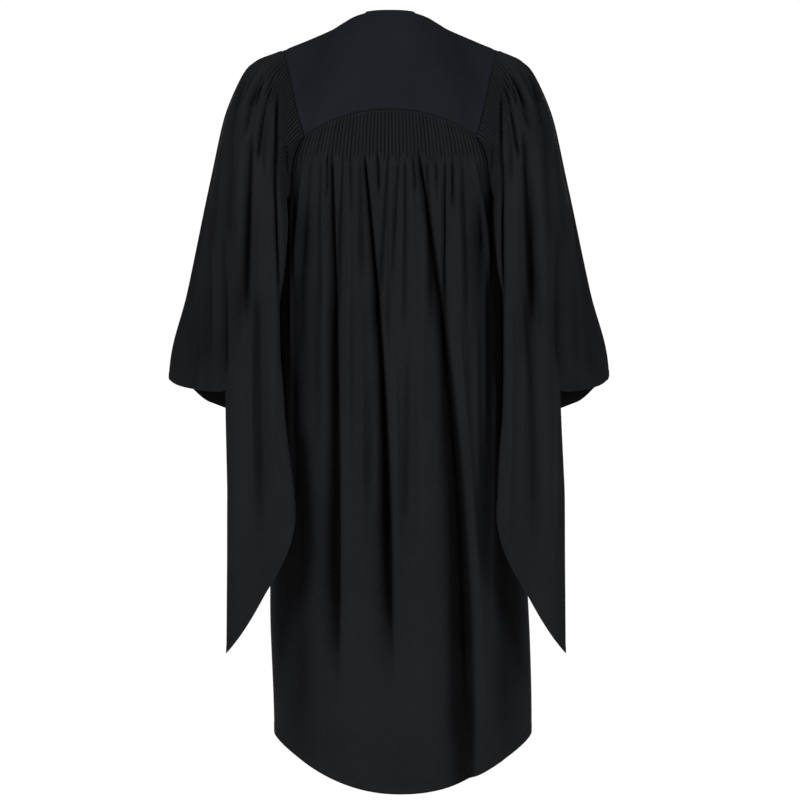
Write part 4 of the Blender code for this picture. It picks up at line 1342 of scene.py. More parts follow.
@dataclass
class Sleeve(Panel):
    """A sleeve, fluted into the armhole and hanging to a point below the cuff."""

    form: GownForm
    side: Side
    node: str = ""
    slot: str = "gown_cloth"
    cut: Cut = Cut(0.58, 0.86, 0.33)
    held: str = "gathered"
    neighbours: tuple[str, ...] = ("yoke", "back_panel")
    flutes: tuple[int, int] = (35, 22)
    flute_samples: int = 8
    plain_columns: int = 96
    flute_height: float = 0.0022
    flute_level: float = 0.70
    point_drop: float = 0.918
    fold_drop: float = 0.698
    cuff_drop: float = 0.575
    outer_lean: float = -0.0040
    point_lean: float = 0.0075
    back_flutes_end: float = 2.62
    front_flutes_start: float = 5.9
    # Keys between which the cloth hangs on below the cuff, and the cuff's level
    hang_from: float = 1.0
    hang_to: float = 4.0
    cuff: float = 5.0
    cuff_stitches: float = 4.945
    cuff_bulge: float = 0.0085
    cuff_tuck: float = -0.0125
    # Key, push and reach in keys of the folds on the outer and front faces
    outer_folds: tuple[tuple[float, float, float], ...] = (
        (5.2, -0.009, 0.35),
        (6.1, -0.010, 0.3),
        (6.9, -0.009, 0.28),
        (0.1, -0.004, 0.22),
    )

    def __post_init__(self) -> None:
        """Name the sleeve for its side and set out its rings of keys."""
        self.node = "sleeve_" + self.side.name.lower()
        rings = [(ARMHOLE["x"], ARMHOLE["y"], ARMHOLE["drop"])]
        for level in range(len(SLEEVE["outer_x"])):
            row = {name: values[level] for name, values in SLEEVE.items()}
            ridge, fold, under = row["ridge_x"], row["fold_x"], row["under_x"]
            inner = [ridge, mix(ridge, fold, 0.52), fold, under, under + 0.004]
            outer = row["outer_x"]
            xs = [outer, *inner, mix(under, outer, 0.42), mix(under, outer, 0.86)]
            ys = [-0.004, row["ridge_y"], row["back_y"], row["fold_y"], -0.050, 0.030]
            ys += [row["front_y"], row["front_y"] * 0.72]
            high, low = row["outer_drop"], row["under_drop"]
            drops = [mix(high, low, share) for share in SLEEVE_KEY_SHARE]
            rings.append((xs, ys, drops))
        self.rings = rings

    def base(self, key: Array, level: Array) -> Array:
        """Return points without folds; level 0 is the armhole and 5 the cuff.

        Args:
            key: Keys round the sleeve, from the shoulder down the back.
            level: Levels down the sleeve.

        Returns:
            The points, with a last axis of three.
        """
        levels = list(range(len(self.rings)))
        loops = [
            np.stack([loop_value(ring[axis], key) for ring in self.rings]) for axis in range(3)
        ]
        loops[0][0] = self.form.armhole_x(key % KEYS)
        x, y, drop = (smooth_value(levels, loop, level) for loop in loops)
        on_seam = 1 - ease(level / 0.9)
        seam_y = self.form.armhole(key % KEYS, self.side)[..., 1]
        y = y + on_seam * (seam_y - loop_value(ARMHOLE["y"], key))
        turn = np.abs(((key + 4) % KEYS) - 4)
        corner = np.clip(key % KEYS, 0.0, 1.0)
        bulge = self.cuff_bulge * (1 - np.abs(2 * corner - 1) ** 2.5) * (key % KEYS < 1.0)
        tuck = self.cuff_tuck * ease((key % KEYS - 6.35) / 0.7)
        tuck = tuck * ease((8.0 - key % KEYS) / 0.35)
        drop = drop + (bulge + tuck) * ease((level - 3.5) / 1.5)
        outer = mix(float(self.form.lean(np.array(0.0))), self.outer_lean, ease(level))
        inner = np.minimum(self.form.lean(drop), self.point_lean)
        lean = mix(outer, inner, ease(turn))
        return np.stack([self.side.value * x + lean, y, -drop], axis=-1)

    def frame(self, key: Array, level: Array) -> tuple[Array, Array, Array]:
        """Return points with their outward normals and their ways down the sleeve.

        Args:
            key: Keys round the sleeve.
            level: Levels down the sleeve.

        Returns:
            Points, normals and ways, each with a last axis of three.
        """
        along = self.base(key, level + 0.04) - self.base(key, np.maximum(level - 0.04, 0.0))
        around = self.base(key + 0.05, level) - self.base(key - 0.05, level)
        normal = unit(np.cross(around, along)) * self.side.value
        return self.base(key, level), normal, unit(along)

    def point_end(self, key: Array) -> Array:
        """Return the drop of the hem of the hanging point at keys from 1 to 4.

        Args:
            key: Keys round the sleeve.

        Returns:
            The drops.
        """
        share = np.clip((key - 1.0) / 2.0, 0.0, 1.0)
        back = mix(self.point_drop, self.fold_drop, 0.7 * share + 0.3 * share**4)
        return np.where(key <= 3.0, back, mix(self.fold_drop, self.cuff_drop, ease(key - 3.0)))

    def level_of_drop(self, keys: Array, drop: Array) -> Array:
        """Return the levels below the cuff at which columns reach their drops.

        Args:
            keys: Key of each column.
            drop: Drop of each column.

        Returns:
            One level for each column.
        """
        levels = np.linspace(self.cuff, 7.0, 81)
        grid_k, grid_l = np.meshgrid(keys, levels)
        drops = -self.base(grid_k, grid_l)[..., 2]
        return np.array([np.interp(drop[i], drops[:, i], levels) for i in range(len(keys))])

    def folds(self, points: Array, key: Array, level: Array) -> Array:
        """Return the push of the folds on the back, the inner face and the front.

        Args:
            points: Points of the sleeve.
            key: Their keys.
            level: Their levels.

        Returns:
            The pushes.
        """
        table = LEFT_SLEEVE_FOLDS if self.side is Side.LEFT else RIGHT_SLEEVE_FOLDS
        turn = key % KEYS
        around = np.where(turn > 4.0, turn - KEYS, turn)
        on_back = ease((around + 0.15) / 0.3) * ease((3.25 - turn) / 0.3)
        soft = soft_folds(40 + self.side.value, 14, 215.0 * self.side.value, 70.0)
        total = fold_push(table, points[..., 0], -points[..., 2])
        total = (total + fold_push(soft, points[..., 0], -points[..., 2])) * on_back
        fade = ease((level - 0.9) / 0.8)
        for place, deep, reach in self.outer_folds:
            away = ((turn - place + 4) % KEYS - 4) / reach
            total += deep * np.exp(-away * away) * fade * ease((5.4 - level) / 1.6)
        return total * ease((level - 0.05) / 0.35)

    def flute_push(self, column: Array, level: Array) -> Array:
        """Return the push of the flutes at columns of the sleeve.

        Args:
            column: Numbers of the columns.
            level: Levels of the places.

        Returns:
            The pushes.
        """
        back, front = self.flutes
        samples = self.flute_samples
        low = back * samples
        high = low + self.plain_columns
        place = np.where(column <= low, column / samples, (column - high) / samples)
        fluted = np.where(column <= low, 1.0, np.where(column >= high, 0.8, 0.0))
        count = low + self.plain_columns + front * samples
        end = self.flute_level + 0.10 * ripple(column / count, 70, 21)
        fade = ease((level + 0.02) / 0.10) * (1 - ease((level - end + 0.12) / 0.32))
        edge = ease((low - column) / (2 * samples) + 0.4)
        edge = edge + ease((column - high) / (2 * samples) + 0.4)
        strength = 0.85 + 0.25 * ripple(column / count, 60, 23)
        push = self.flute_height * flute_wave(place) * fluted * fade
        return push * np.clip(edge, 0.0, 1.0) * strength

    @staticmethod
    def slant(key: Array, level: Array) -> Array:
        """Return how far the flutes of the back slant down, in keys.

        Args:
            key: Keys round the sleeve.
            level: Levels down the sleeve.

        Returns:
            The shifts of the keys.
        """
        reach = ease((key - 0.15) / 0.7) * ease((3.1 - key) / 0.9)
        slant = 0.25 * reach * np.clip(level / 0.7, 0.0, 1.0) ** 2
        return slant * (1 - ease((level - 0.7) / 2.0))

    def surface(self, column: Array, key: Array, level: Array) -> tuple[Array, Array, Array]:
        """Return points, normals and pushes of the finished sleeve.

        Args:
            column: Numbers of the columns.
            key: Keys round the sleeve.
            level: Levels down the sleeve.

        Returns:
            Points, normals and pushes.
        """
        points, normal, along = self.frame(key, level)
        turn = key % KEYS
        push = self.folds(points, key, level) + self.flute_push(column, level)
        beside = ease((3.4 - turn) / 0.3) * ease((turn - 1.2) / 0.5) * ease((3.0 - level) / 1.0)
        points = points + seam_shift(points) * beside[..., None]
        under = ease(1.4 - np.abs(turn - 4.5) / 1.3)[..., None]
        sideways = np.array([self.side.value, 0.0, 0.0])
        away = unit(mix(along, np.broadcast_to(sideways, along.shape), under))
        lift = 0.3 * loop_value(ARMHOLE["lift"], key) * (1 - ease(level / 0.2))
        under_yoke = (turn <= 2.0) | (turn >= self.form.yoke.front_key)
        lift = np.where((level <= 0.0) & under_yoke, -0.0012, lift)
        return points + away * lift[..., None], normal, push

    def build(self) -> bpy.types.Object:
        """Return the sleeve with its flutes, folds, cuff and hanging point.

        Returns:
            The finished object.
        """
        back, front = (count * self.flute_samples for count in self.flutes)
        end, again = self.back_flutes_end, self.front_flutes_start
        keys = np.concatenate(
            [
                self.form.armhole_steps(0.0, end, back)[:-1],
                self.form.armhole_steps(end, again, self.plain_columns)[:-1],
                self.form.armhole_steps(again, 8.0, front),
            ]
        )
        column = np.arange(len(keys), dtype=float)
        first = int(np.argmin(np.abs(keys - self.hang_from)))
        last = int(np.argmin(np.abs(keys - self.hang_to)))
        marks = [0, first, last, len(keys) - 1]
        shifts = [0.0, self.hang_from - keys[first], self.hang_to - keys[last], 0.0]
        low_keys = keys + np.interp(column, marks, shifts)
        upper = np.concatenate([[0.0, 0.012, 0.03, 0.06], np.linspace(0.1, 1.0, 19)])
        lower = np.linspace(1.0, self.cuff, 50)[1:-1]
        lower = np.round(np.concatenate([lower, [4.955, 4.965, 4.99, 5.0]]), 5)
        levels = np.concatenate([upper, lower])
        grid_c, grid_l = np.meshgrid(column, levels)
        grid_k = mix(keys[None], low_keys[None], ease((grid_l - 0.7) / 1.3))
        grid_k = grid_k + self.slant(grid_k, grid_l)
        points, normal, push = self.surface(grid_c, grid_k, grid_l)
        front_part = (column <= first) | (column >= last)
        push = push + HEM_THICKNESS * ease((grid_l - 4.956) / 0.008) * front_part
        seam = np.exp(-((grid_l / 0.02) ** 2))
        push = push - 0.0007 * seam
        under_yoke = (keys <= 2.0) | (keys >= self.form.yoke.front_key)
        push[0] = np.where(under_yoke, -0.0021, push[0])
        self.rows_of_stitches = []
        cuff_row = int(np.argmin(np.abs(levels - self.cuff_stitches)))
        self.sew(points, normal, push, np.s_[cuff_row, : first + 1])
        self.sew(points, normal, push, np.s_[cuff_row, last:])
        body = Block.raised(points, normal, push)
        body.points[:, -1] = body.points[:, 0]
        across, down = body.lengths()
        mesh = ClothMesh(self.node)
        mesh.add(body, across, down)
        hang_keys = low_keys[first : last + 1]
        ends = self.level_of_drop(hang_keys, self.point_end(hang_keys))
        steps = np.concatenate([np.linspace(0.0, 1.0, 30)[:-1], [0.975, 0.982, 0.994, 1.0]])
        grid_c, grid_s = np.meshgrid(column[first : last + 1], steps)
        grid_k = np.broadcast_to(hang_keys, grid_c.shape)
        grid_l = mix(self.cuff, ends[None], grid_s)
        points, normal, push = self.surface(grid_c, grid_k, grid_l)
        push = push + HEM_THICKNESS * ease((grid_s - 0.976) / 0.006)
        self.sew(points, normal, push)
        points = points + normal * push[..., None]
        points[0] = body.points[-1, first : last + 1]
        # The last column shrinks to a point where the hang meets the cuff
        sink = np.linspace(0.0, 1.0, len(steps))[:, None] * np.array([0.0, 0.0, -1e-7])
        points[:, -1] = points[0, -1] + sink
        hang = Block(points, push / CREST_SCALE)
        wide, long = hang.lengths()
        wide = wide + across[-1, first]
        long = long + down[-1, first : last + 1]
        mesh.add(hang, wide, long)
        middle = 40 * (len(keys) - 1) + int(np.argmin(np.abs(low_keys - 1.9)))
        return mesh.build(BACKWARDS, middle)


# Finishes

FLOAT = "NodeSocketFloat"
VECTOR = "NodeSocketVector"
GEOMETRY = "NodeSocketGeometry"
# Shares of the plain weave, the twill and the uneven yarn in the height of the threads
PLAIN_SHARE = 0.5
TWILL_SHARE = 0.35
SLUB_SHARE = 0.7
SLUB_STRETCH = (900.0, 60.0, 1.0)
# How much each thing changes the tone, where 0 is the dark colour, the painted shade of the
# hollows, and 1 the light one
PATCH_TONE = 0.55
LINT_TONE = 0.6
MEAN_TONE = 0.12
# The weave's height paints shade into the low places between the threads; the uneven yarn adds a
# tone of its own
HEIGHT_TONE = 0.12
THREAD_TONE = 0.2
# Crests between which the colour goes from painted shade in the hollows of the folds to the light
# tops
HOLLOW_CREST = -1.75
TOP_CREST = 0.40
WORN_ROUGHNESS = -0.12
SHEEN_ROUGHNESS = 0.55
GRAIN_STRENGTH = 0.6
NOISES = {"patches": (9.0, 3.0), "lint": (420.0, 2.0), "crumple": (42.0, 3.0)}


class Nodes:
    """A short way to add nodes and join them."""

    def __init__(self, tree: bpy.types.NodeTree) -> None:
        """Start in a node tree."""
        self.tree = tree

    def add(
        self, kind: str, values: dict[object, object] | None = None, **settings: object
    ) -> bpy.types.Node:
        """Add a node.

        Args:
            kind: Type of the node.
            values: Values of its inputs, by name or number.
            **settings: Settings of the node itself.

        Returns:
            The node.
        """
        node = self.tree.nodes.new(kind)
        for name, value in settings.items():
            setattr(node, name, value)
        for socket, value in (values or {}).items():
            node.inputs[socket].default_value = value
        return node

    def math(self, operation: str, first: object, second: object = 0.0) -> bpy.types.NodeSocket:
        """Add a Math node.

        Args:
            operation: What it does.
            first: Its first socket or number.
            second: Its second socket or number.

        Returns:
            The socket of its result.
        """
        node = self.add("ShaderNodeMath", operation=operation)
        for socket, value in zip(node.inputs, (first, second)):
            if isinstance(value, bpy.types.NodeSocket):
                self.tree.links.new(value, socket)
            else:
                socket.default_value = value
        return node.outputs[0]

    def link(self, *joins: tuple[bpy.types.NodeSocket, bpy.types.NodeSocket]) -> None:
        """Join pairs of sockets, each from an output to an input."""
        for start, end in joins:
            self.tree.links.new(start, end)

    def blend(
        self,
        factor: bpy.types.NodeSocket,
        first: tuple[float, ...],
        second: tuple[float, ...],
    ) -> bpy.types.NodeSocket:
        """Add a mix of two colours.

        Args:
            factor: Share of the second colour.
            first: Red, green and blue of the first colour.
            second: Red, green and blue of the second colour.

        Returns:
            The socket of the mixed colour.
        """
        values = {"A": (*first, 1.0), "B": (*second, 1.0)}
        mixed = self.add("ShaderNodeMix", values, data_type="RGBA")
        self.link((factor, mixed.inputs["Factor"]))
        return mixed.outputs["Result"]


def new_tree(
    name: str, kind: str, inputs: dict[str, str], outputs: dict[str, str]
) -> tuple[Nodes, bpy.types.Node, bpy.types.Node]:
    """Start a node group with named sockets.

    Args:
        name: Name of the group.
        kind: Type of its tree.
        inputs: Socket types by name.
        outputs: Socket types by name.

    Returns:
        Its nodes, its input node and its output node.
    """
    tree = bpy.data.node_groups.new(name, kind)
    for way, sockets in (("INPUT", inputs), ("OUTPUT", outputs)):
        for label, socket in sockets.items():
            tree.interface.new_socket(name=label, in_out=way, socket_type=socket)
    nodes = Nodes(tree)
    return nodes, nodes.add("NodeGroupInput"), nodes.add("NodeGroupOutput")


def new_material(name: str) -> tuple[bpy.types.Material, Nodes, bpy.types.Node]:
    """Return a new material with its nodes and its shader.

    Args:
        name: Name of the material.

    Returns:
        The material, its nodes and its Principled shader.
    """
    material = bpy.data.materials.new(name)
    material.use_nodes = True
    tree = material.node_tree
    return material, Nodes(tree), tree.nodes["Principled BSDF"]


def weave_group() -> bpy.types.NodeTree:
    """Return the group that weaves threads from a position on the cloth in metres.

    Returns:
        The group.
    """
    sockets = {"Cloth": VECTOR, "Pitch": FLOAT}, {"Height": FLOAT, "Shade": FLOAT}
    nodes, start, end = new_tree("fine_weave", "ShaderNodeTree", *sockets)
    split = nodes.add("ShaderNodeSeparateXYZ")
    nodes.link((start.outputs["Cloth"], split.inputs[0]))
    turn = nodes.math("DIVIDE", 2 * math.pi, start.outputs["Pitch"])
    warp = nodes.math("SINE", nodes.math("MULTIPLY", split.outputs[0], turn))
    weft = nodes.math("SINE", nodes.math("MULTIPLY", split.outputs[1], turn))
    plain = nodes.math("MULTIPLY", nodes.math("MULTIPLY", warp, weft), PLAIN_SHARE)
    diagonal = nodes.math("ADD", split.outputs[0], split.outputs[1])
    half_turn = nodes.math("MULTIPLY", turn, 0.5)
    twill = nodes.math("SINE", nodes.math("MULTIPLY", diagonal, half_turn))
    height = nodes.math("ADD", plain, nodes.math("MULTIPLY", twill, TWILL_SHARE))
    slub = nodes.add("ShaderNodeTexNoise", {"Scale": 1.0, "Detail": 2.0})
    stretch = nodes.add("ShaderNodeVectorMath", {1: SLUB_STRETCH}, operation="MULTIPLY")
    thick = nodes.math("MULTIPLY", slub.outputs[0], SLUB_SHARE)
    # Painted shade between the threads from the weave's height, plus the uneven yarn's own tone
    shade = nodes.math("ADD", nodes.math("MULTIPLY", height, HEIGHT_TONE), slub.outputs[0])
    nodes.link(
        (start.outputs["Cloth"], stretch.inputs[0]),
        (stretch.outputs[0], slub.inputs["Vector"]),
        (nodes.math("ADD", height, thick), end.inputs["Height"]),
        (shade, end.inputs["Shade"]),
    )
    return nodes.tree


def tone_group() -> bpy.types.NodeTree:
    """Return the group that varies the cloth's tone at random and paints shade into the hollows
    of its folds.

    Returns:
        The group.
    """
    nodes, start, end = new_tree(
        "tone_and_fold_shade",
        "ShaderNodeTree",
        {"Place": VECTOR, "Crest": FLOAT, "Shade_And_Polish_Strength": FLOAT},
        {"Tone": FLOAT, "Fold_Shade_And_Polish": FLOAT, "Crumple": FLOAT},
    )
    noises = {}
    for name, (scale, detail) in NOISES.items():
        noise = nodes.add("ShaderNodeTexNoise", {"Scale": scale, "Detail": detail})
        nodes.link((start.outputs["Place"], noise.inputs["Vector"]))
        noises[name] = noise.outputs[0]
    broad = nodes.math("MULTIPLY", nodes.math("SUBTRACT", noises["patches"], 0.5), PATCH_TONE)
    fine = nodes.math("MULTIPLY", nodes.math("SUBTRACT", noises["lint"], 0.5), LINT_TONE)
    tone = nodes.math("ADD", nodes.math("ADD", broad, fine), MEAN_TONE)
    ends = {"From Min": HOLLOW_CREST, "From Max": TOP_CREST}
    crest = nodes.add("ShaderNodeMapRange", ends, interpolation_type="SMOOTHSTEP")
    # Painted shade: low crests, the hollows of the folds, keep the dark colour and high crests
    # take the light one; the same mask also smooths the tops
    fold_shade_and_polish = nodes.math("MULTIPLY", crest.outputs[0], start.outputs["Shade_And_Polish_Strength"])
    nodes.link(
        (start.outputs["Crest"], crest.inputs["Value"]),
        (tone, end.inputs["Tone"]),
        (fold_shade_and_polish, end.inputs["Fold_Shade_And_Polish"]),
        (noises["crumple"], end.inputs["Crumple"]),
    )
    return nodes.tree


@dataclass(frozen=True)
class ClothFinish:
    """A matt black woven cloth."""

    name: str
    # The dark colour is painted shade for the hollows of the folds and the light one the colour
    # of their tops; random tone moves between them
    hollow_shade_colour: tuple[float, float, float]
    light: tuple[float, float, float]
    # How far the tops rise from the painted shade of the hollows towards the light colour, and
    # how much smoother they are
    shade_and_polish_strength: float
    roughness: float
    specular: float
    sheen: float
    pitch: float
    weave_depth: float
    crumple_depth: float

    def build(self, weave: bpy.types.NodeTree, tone: bpy.types.NodeTree) -> bpy.types.Material:
        """Return the material, from the two shared groups.

        Args:
            weave: The group of woven threads.
            tone: The group of random tone, of painted shade in the hollows of the folds and of
                polish on their tops.

        Returns:
            The material.
        """
        material, nodes, shader = new_material(self.name)
        cloth = nodes.add("ShaderNodeUVMap", uv_map="cloth")
        place = nodes.add("ShaderNodeTexCoord")
        crest = nodes.add("ShaderNodeAttribute", attribute_name="crest")
        threads = nodes.add("ShaderNodeGroup", node_tree=weave)
        threads.inputs["Pitch"].default_value = self.pitch
        tone_and_shade = nodes.add("ShaderNodeGroup", node_tree=tone)
        tone_and_shade.inputs["Shade_And_Polish_Strength"].default_value = self.shade_and_polish_strength
        # Painted shade: the colour goes from the dark colour in the hollows of the folds to the
        # light one on their tops, with random tone and the threads' shade
        level = nodes.math("ADD", tone_and_shade.outputs["Tone"], tone_and_shade.outputs["Fold_Shade_And_Polish"])
        # The threads' painted shade and the yarn's own tone
        shade = nodes.math("MULTIPLY", threads.outputs["Shade"], THREAD_TONE)
        colour = nodes.blend(nodes.math("ADD", level, shade), self.hollow_shade_colour, self.light)
        # The same mask makes the tops of the folds a little less rough
        worn = nodes.math("MULTIPLY", tone_and_shade.outputs["Fold_Shade_And_Polish"], WORN_ROUGHNESS)
        roughness = nodes.math("ADD", worn, self.roughness)
        depths = {"Strength": 1.0, "Distance": self.crumple_depth}
        fold = nodes.add("ShaderNodeBump", depths)
        depths = {"Strength": GRAIN_STRENGTH, "Distance": self.weave_depth}
        grain = nodes.add("ShaderNodeBump", depths)
        nodes.link(
            (cloth.outputs[0], threads.inputs["Cloth"]),
            (place.outputs["Object"], tone_and_shade.inputs["Place"]),
            (crest.outputs["Fac"], tone_and_shade.inputs["Crest"]),
            (colour, shader.inputs["Base Color"]),
            (roughness, shader.inputs["Roughness"]),
            (tone_and_shade.outputs["Crumple"], fold.inputs["Height"]),
            (threads.outputs["Height"], grain.inputs["Height"]),
            (fold.outputs[0], grain.inputs["Normal"]),
            (grain.outputs[0], shader.inputs["Normal"]),
        )
        shader.inputs["Specular IOR Level"].default_value = self.specular
        shader.inputs["Sheen Weight"].default_value = self.sheen
        shader.inputs["Sheen Roughness"].default_value = SHEEN_ROUGHNESS
        return material


@dataclass(frozen=True)
class ThreadFinish:
    """The dull black thread of the stitches."""

    name: str = "black_thread"
    colour: tuple[float, float, float] = (0.012, 0.012, 0.014)
    # Share of the colour left in the grooves of the twist, which are painted darker as shade
    groove_shade_share: float = 0.7
    roughness: float = 0.62
    specular: float = 0.2
    twist_scale: float = 900.0
    twist_depth: float = 0.00005

    def build(self) -> bpy.types.Material:
        """Return the material, with the twist of the thread as its bump and painted shade in its
        grooves.

        Returns:
            The material.
        """
        material, nodes, shader = new_material(self.name)
        place = nodes.add("ShaderNodeTexCoord")
        values = {"Scale": self.twist_scale, "Distortion": 1.5}
        twist = nodes.add("ShaderNodeTexWave", values)
        # Painted shade: the grooves of the twist take a darker colour
        hollow_shade_colour = tuple(self.groove_shade_share * part for part in self.colour)
        bump = nodes.add("ShaderNodeBump", {"Distance": self.twist_depth})
        nodes.link(
            (place.outputs["Object"], twist.inputs["Vector"]),
            (nodes.blend(twist.outputs["Fac"], hollow_shade_colour, self.colour), shader.inputs["Base Color"]),
            (twist.outputs["Fac"], bump.inputs["Height"]),
            (bump.outputs[0], shader.inputs["Normal"]),
        )
        shader.inputs["Roughness"].default_value = self.roughness
        shader.inputs["Specular IOR Level"].default_value = self.specular
        return material


@dataclass(frozen=True)
class StudioFinish:
    """The pale surface that the floor has."""

    name: str = "pale_floor"
    colour: tuple[float, float, float] = (0.93, 0.93, 0.93)
    uneven: float = 0.985
    grain_scale: float = 3.0
    roughness: float = 0.7
    specular: float = 0.2

    def build(self) -> bpy.types.Material:
        """Return the material, with a faint unevenness.

        Returns:
            The material.
        """
        material, nodes, shader = new_material(self.name)
        place = nodes.add("ShaderNodeTexCoord")
        grain = nodes.add("ShaderNodeTexNoise", {"Scale": self.grain_scale})
        dull = tuple(part * self.uneven for part in self.colour)
        nodes.link(
            (place.outputs["Object"], grain.inputs["Vector"]),
            (nodes.blend(grain.outputs[0], self.colour, dull), shader.inputs["Base Color"]),
        )
        shader.inputs["Roughness"].default_value = self.roughness
        shader.inputs["Specular IOR Level"].default_value = self.specular
        return material


# Each cloth's dark colour is painted shade for the hollows of its folds
YOKE_CLOTH = ClothFinish(
    name="yoke_cloth",
    hollow_shade_colour=(0.0060, 0.0072, 0.0096),
    light=(0.0190, 0.0226, 0.0296),
    shade_and_polish_strength=0.75,
    roughness=0.80,
    specular=0.08,
    sheen=0.01,
    pitch=0.00075,
    weave_depth=0.00006,
    crumple_depth=0.0006,
)
GOWN_CLOTH = ClothFinish(
    name="gown_cloth",
    hollow_shade_colour=(0.0012, 0.0012, 0.0013),
    light=(0.0235, 0.0250, 0.0280),
    shade_and_polish_strength=0.75,
    roughness=0.84,
    specular=0.06,
    sheen=0.01,
    pitch=0.00075,
    weave_depth=0.00006,
    crumple_depth=0.0009,
)


# Stitches


@dataclass(frozen=True)
class Stitching:
    """Rows of machine stitches that follow the hems and edges of a piece."""

    pitch: float = 0.0030
    length: float = 0.0023
    thread: float = 0.00026
    shortest: float = 0.9
    longest: float = 1.08
    seed: int = 7

    def tree(self) -> bpy.types.NodeTree:
        """Return the node tree that lays stitches along the edges of a mesh.

        Returns:
            The tree.
        """
        inputs = {
            "Rows": GEOMETRY,
            "Pitch": FLOAT,
            "Length": FLOAT,
            "Thread": FLOAT,
            "Seed": "NodeSocketInt",
            "Finish": "NodeSocketMaterial",
        }
        outputs = {"Stitches": GEOMETRY}
        nodes, start, end = new_tree("stitch_row", "GeometryNodeTree", inputs, outputs)
        curve = nodes.add("GeometryNodeMeshToCurve")
        even = nodes.add("GeometryNodeResampleCurve", mode="LENGTH")
        tangent = nodes.add("GeometryNodeInputTangent")
        align = nodes.add("FunctionNodeAlignRotationToVector", axis="X")
        ball = {"Segments": 6, "Rings": 4, "Radius": 1.0}
        stitch = nodes.add("GeometryNodeMeshUVSphere", ball)
        sizes = {2: self.shortest, 3: self.longest}
        chance = nodes.add("FunctionNodeRandomValue", sizes, data_type="FLOAT")
        size = nodes.add("ShaderNodeCombineXYZ")
        uneven = nodes.add("ShaderNodeVectorMath", operation="SCALE")
        place = nodes.add("GeometryNodeInstanceOnPoints")
        smooth = nodes.add("GeometryNodeSetShadeSmooth")
        real = nodes.add("GeometryNodeRealizeInstances")
        finish = nodes.add("GeometryNodeSetMaterial")
        nodes.link(
            (start.outputs["Rows"], curve.inputs[0]),
            (curve.outputs[0], even.inputs["Curve"]),
            (start.outputs["Pitch"], even.inputs["Length"]),
            (tangent.outputs[0], align.inputs["Vector"]),
            (nodes.math("MULTIPLY", start.outputs["Length"], 0.5), size.inputs[0]),
            (start.outputs["Thread"], size.inputs[1]),
            (start.outputs["Thread"], size.inputs[2]),
            (start.outputs["Seed"], chance.inputs["Seed"]),
            (size.outputs[0], uneven.inputs[0]),
            (chance.outputs[1], uneven.inputs["Scale"]),
            (stitch.outputs[0], smooth.inputs[0]),
            (even.outputs[0], place.inputs["Points"]),
            (smooth.outputs[0], place.inputs["Instance"]),
            (align.outputs[0], place.inputs["Rotation"]),
            (uneven.outputs[0], place.inputs["Scale"]),
            (place.outputs[0], real.inputs[0]),
            (real.outputs[0], finish.inputs["Geometry"]),
            (start.outputs["Finish"], finish.inputs["Material"]),
            (finish.outputs[0], end.inputs["Stitches"]),
        )
        return nodes.tree

    def build(self, name: str, rows: list[Array], finish: bpy.types.Material) -> bpy.types.Object:
        """Return one plain mesh of all the stitches along some rows of points.

        Args:
            name: Name of the piece.
            rows: Rows of points that the stitches follow.
            finish: Material of the thread.

        Returns:
            The finished object.
        """
        points: list[Array] = []
        edges: list[tuple[int, int]] = []
        for row in rows:
            first = len(points)
            points.extend(row.tolist())
            edges.extend((first + i, first + i + 1) for i in range(len(row) - 1))
        guide = bpy.data.meshes.new(name + "_rows")
        guide.from_pydata(points, edges, [])
        carrier = place_object(name + "_rows", guide)
        tree = self.tree()
        modifier = carrier.modifiers.new("stitches", "NODES")
        modifier.node_group = tree
        values = {
            "Pitch": self.pitch,
            "Length": self.length,
            "Thread": self.thread,
            "Seed": self.seed,
            "Finish": finish,
        }
        for socket in tree.interface.items_tree:
            if socket.item_type == "SOCKET" and socket.name in values:
                modifier[socket.identifier] = values[socket.name]
        view = bpy.context.evaluated_depsgraph_get()
        data = bpy.data.meshes.new_from_object(carrier.evaluated_get(view))
        data.name = name
        bpy.data.objects.remove(carrier, do_unlink=True)
        return place_object(name, data)


# The studio


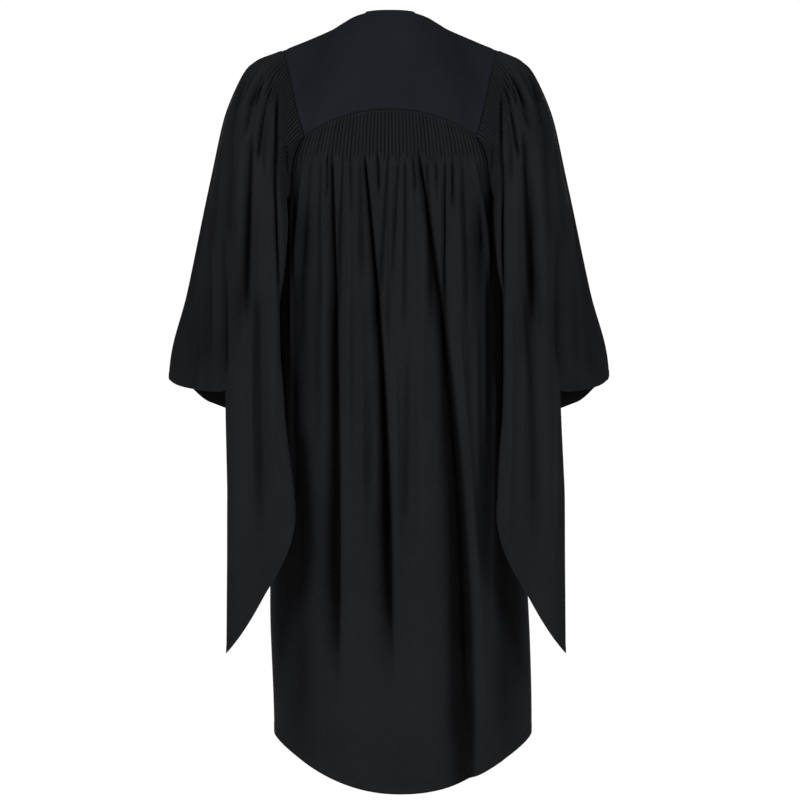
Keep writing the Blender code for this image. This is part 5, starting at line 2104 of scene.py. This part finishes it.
@dataclass(frozen=True)
class Studio:
    """The camera at the photograph's angle, with soft light and a pale floor."""

    target: tuple[float, float, float] = (0.0132, -0.07, -0.5514)
    distance: float = 5.0
    picture_width: int = 800
    metres_per_pixel: float = 0.001469
    sensor: float = 36.0
    light_aim: tuple[float, float, float] = (0.0, 0.0, -0.5)
    floor_height: float = -1.45
    floor_reach: float = 2.2
    floor_sides: int = 96
    sky: float = 0.07
    backdrop: float = 1.02

    def camera(self) -> None:
        """Add the camera, level and square to the back."""
        data = bpy.data.cameras.new("camera")
        data.sensor_width = self.sensor
        data.sensor_fit = "HORIZONTAL"
        data.lens = self.sensor * self.distance / (self.picture_width * self.metres_per_pixel)
        camera = place_object("camera", data)
        camera.location = Vector(self.target) - Vector((0.0, self.distance, 0.0))
        camera.rotation_euler = (math.pi / 2, 0.0, 0.0)
        bpy.context.scene.camera = camera

    def light(self, name: str, place: tuple[float, ...], size: float, power: float) -> None:
        """Add a square soft light that faces the gown.

        Args:
            name: Name of the light.
            place: Where it stands, in metres.
            size: Length of its sides, in metres.
            power: Its power, in watts.
        """
        data = bpy.data.lights.new(name, "AREA")
        data.size = size
        data.energy = power
        light = place_object(name, data)
        light.location = place
        aim = Vector(self.light_aim) - Vector(place)
        light.rotation_euler = aim.to_track_quat("-Z", "Y").to_euler()

    def world(self) -> None:
        """Set a white backdrop that lights the gown a little from all sides."""
        world = bpy.data.worlds.new("studio")
        world.use_nodes = True
        bpy.context.scene.world = world
        nodes = Nodes(world.node_tree)
        backdrop = world.node_tree.nodes["Background"]
        backdrop.inputs["Color"].default_value = (1.0, 1.0, 1.0, 1.0)
        seen = nodes.add("ShaderNodeLightPath").outputs["Is Camera Ray"]
        seen = nodes.math("MULTIPLY", seen, self.backdrop - self.sky)
        nodes.link((nodes.math("ADD", seen, self.sky), backdrop.inputs["Strength"]))

    def floor(self) -> bpy.types.Object:
        """Return the pale round floor below the gown.

        Returns:
            The floor's object.
        """
        shell = bmesh.new()
        sides = self.floor_sides
        bmesh.ops.create_circle(shell, cap_ends=True, radius=self.floor_reach, segments=sides)
        bmesh.ops.translate(shell, verts=shell.verts, vec=(0.0, 0.0, self.floor_height))
        data = bpy.data.meshes.new("floor")
        shell.to_mesh(data)
        shell.free()
        data.materials.append(StudioFinish().build())
        return place_object("floor", data)

    def build(self) -> None:
        """Add the camera, lights, backdrop and floor."""
        self.camera()
        self.world()
        self.light("left_light", (-2.8, -3.0, 1.6), 2.0, 76.0)
        self.light("right_light", (2.8, -3.0, 1.6), 2.0, 64.0)
        self.light("front_light", (0.0, 3.6, -0.3), 2.2, 60.0)
        self.floor()
        bpy.context.scene.view_settings.view_transform = "Standard"


@dataclass
class Gown:
    """The whole gown: its panels, their stitches and their finishes."""

    form: GownForm = field(default_factory=GownForm)
    pieces: dict[str, bpy.types.Object] = field(default_factory=dict)

    def panels(self) -> list[Panel]:
        """Return the panels in the order that they are sewn.

        Returns:
            The panels.
        """
        form = self.form
        sleeves = [Sleeve(form, side) for side in Side]
        fronts = [Front(form, side) for side in Side]
        return [Yoke(form), BackPanel(form), *sleeves, *fronts]

    def build(self) -> None:
        """Build and dress every panel, attach it and hide the imported part it replaces, then sew
        its edges.
        """
        weave = weave_group()
        tone = tone_group()
        cloths = {finish.name: finish.build(weave, tone) for finish in (YOKE_CLOTH, GOWN_CLOTH)}
        thread = ThreadFinish().build()
        panels = self.panels()
        for panel in panels:
            piece = panel.build()
            piece.data.materials.append(cloths[panel.slot])
            self.pieces[panel.node] = piece
            LOG.info("%s: %d faces", panel.node, len(piece.data.polygons))
        for panel in panels:
            panel.declare(self.pieces[panel.node], self.pieces)
            name = panel.node + "_stitches"
            stitches = Stitching().build(name, panel.rows_of_stitches, thread)
            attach(stitches, "root")
            LOG.info("%s: %d faces", stitches.name, len(stitches.data.polygons))


def main() -> None:
    """Build the gown and its studio, and note the model's size."""
    logging.basicConfig(level=logging.INFO, format="%(message)s")
    Studio().build()
    Gown().build()


if __name__ == "__main__":
    main()
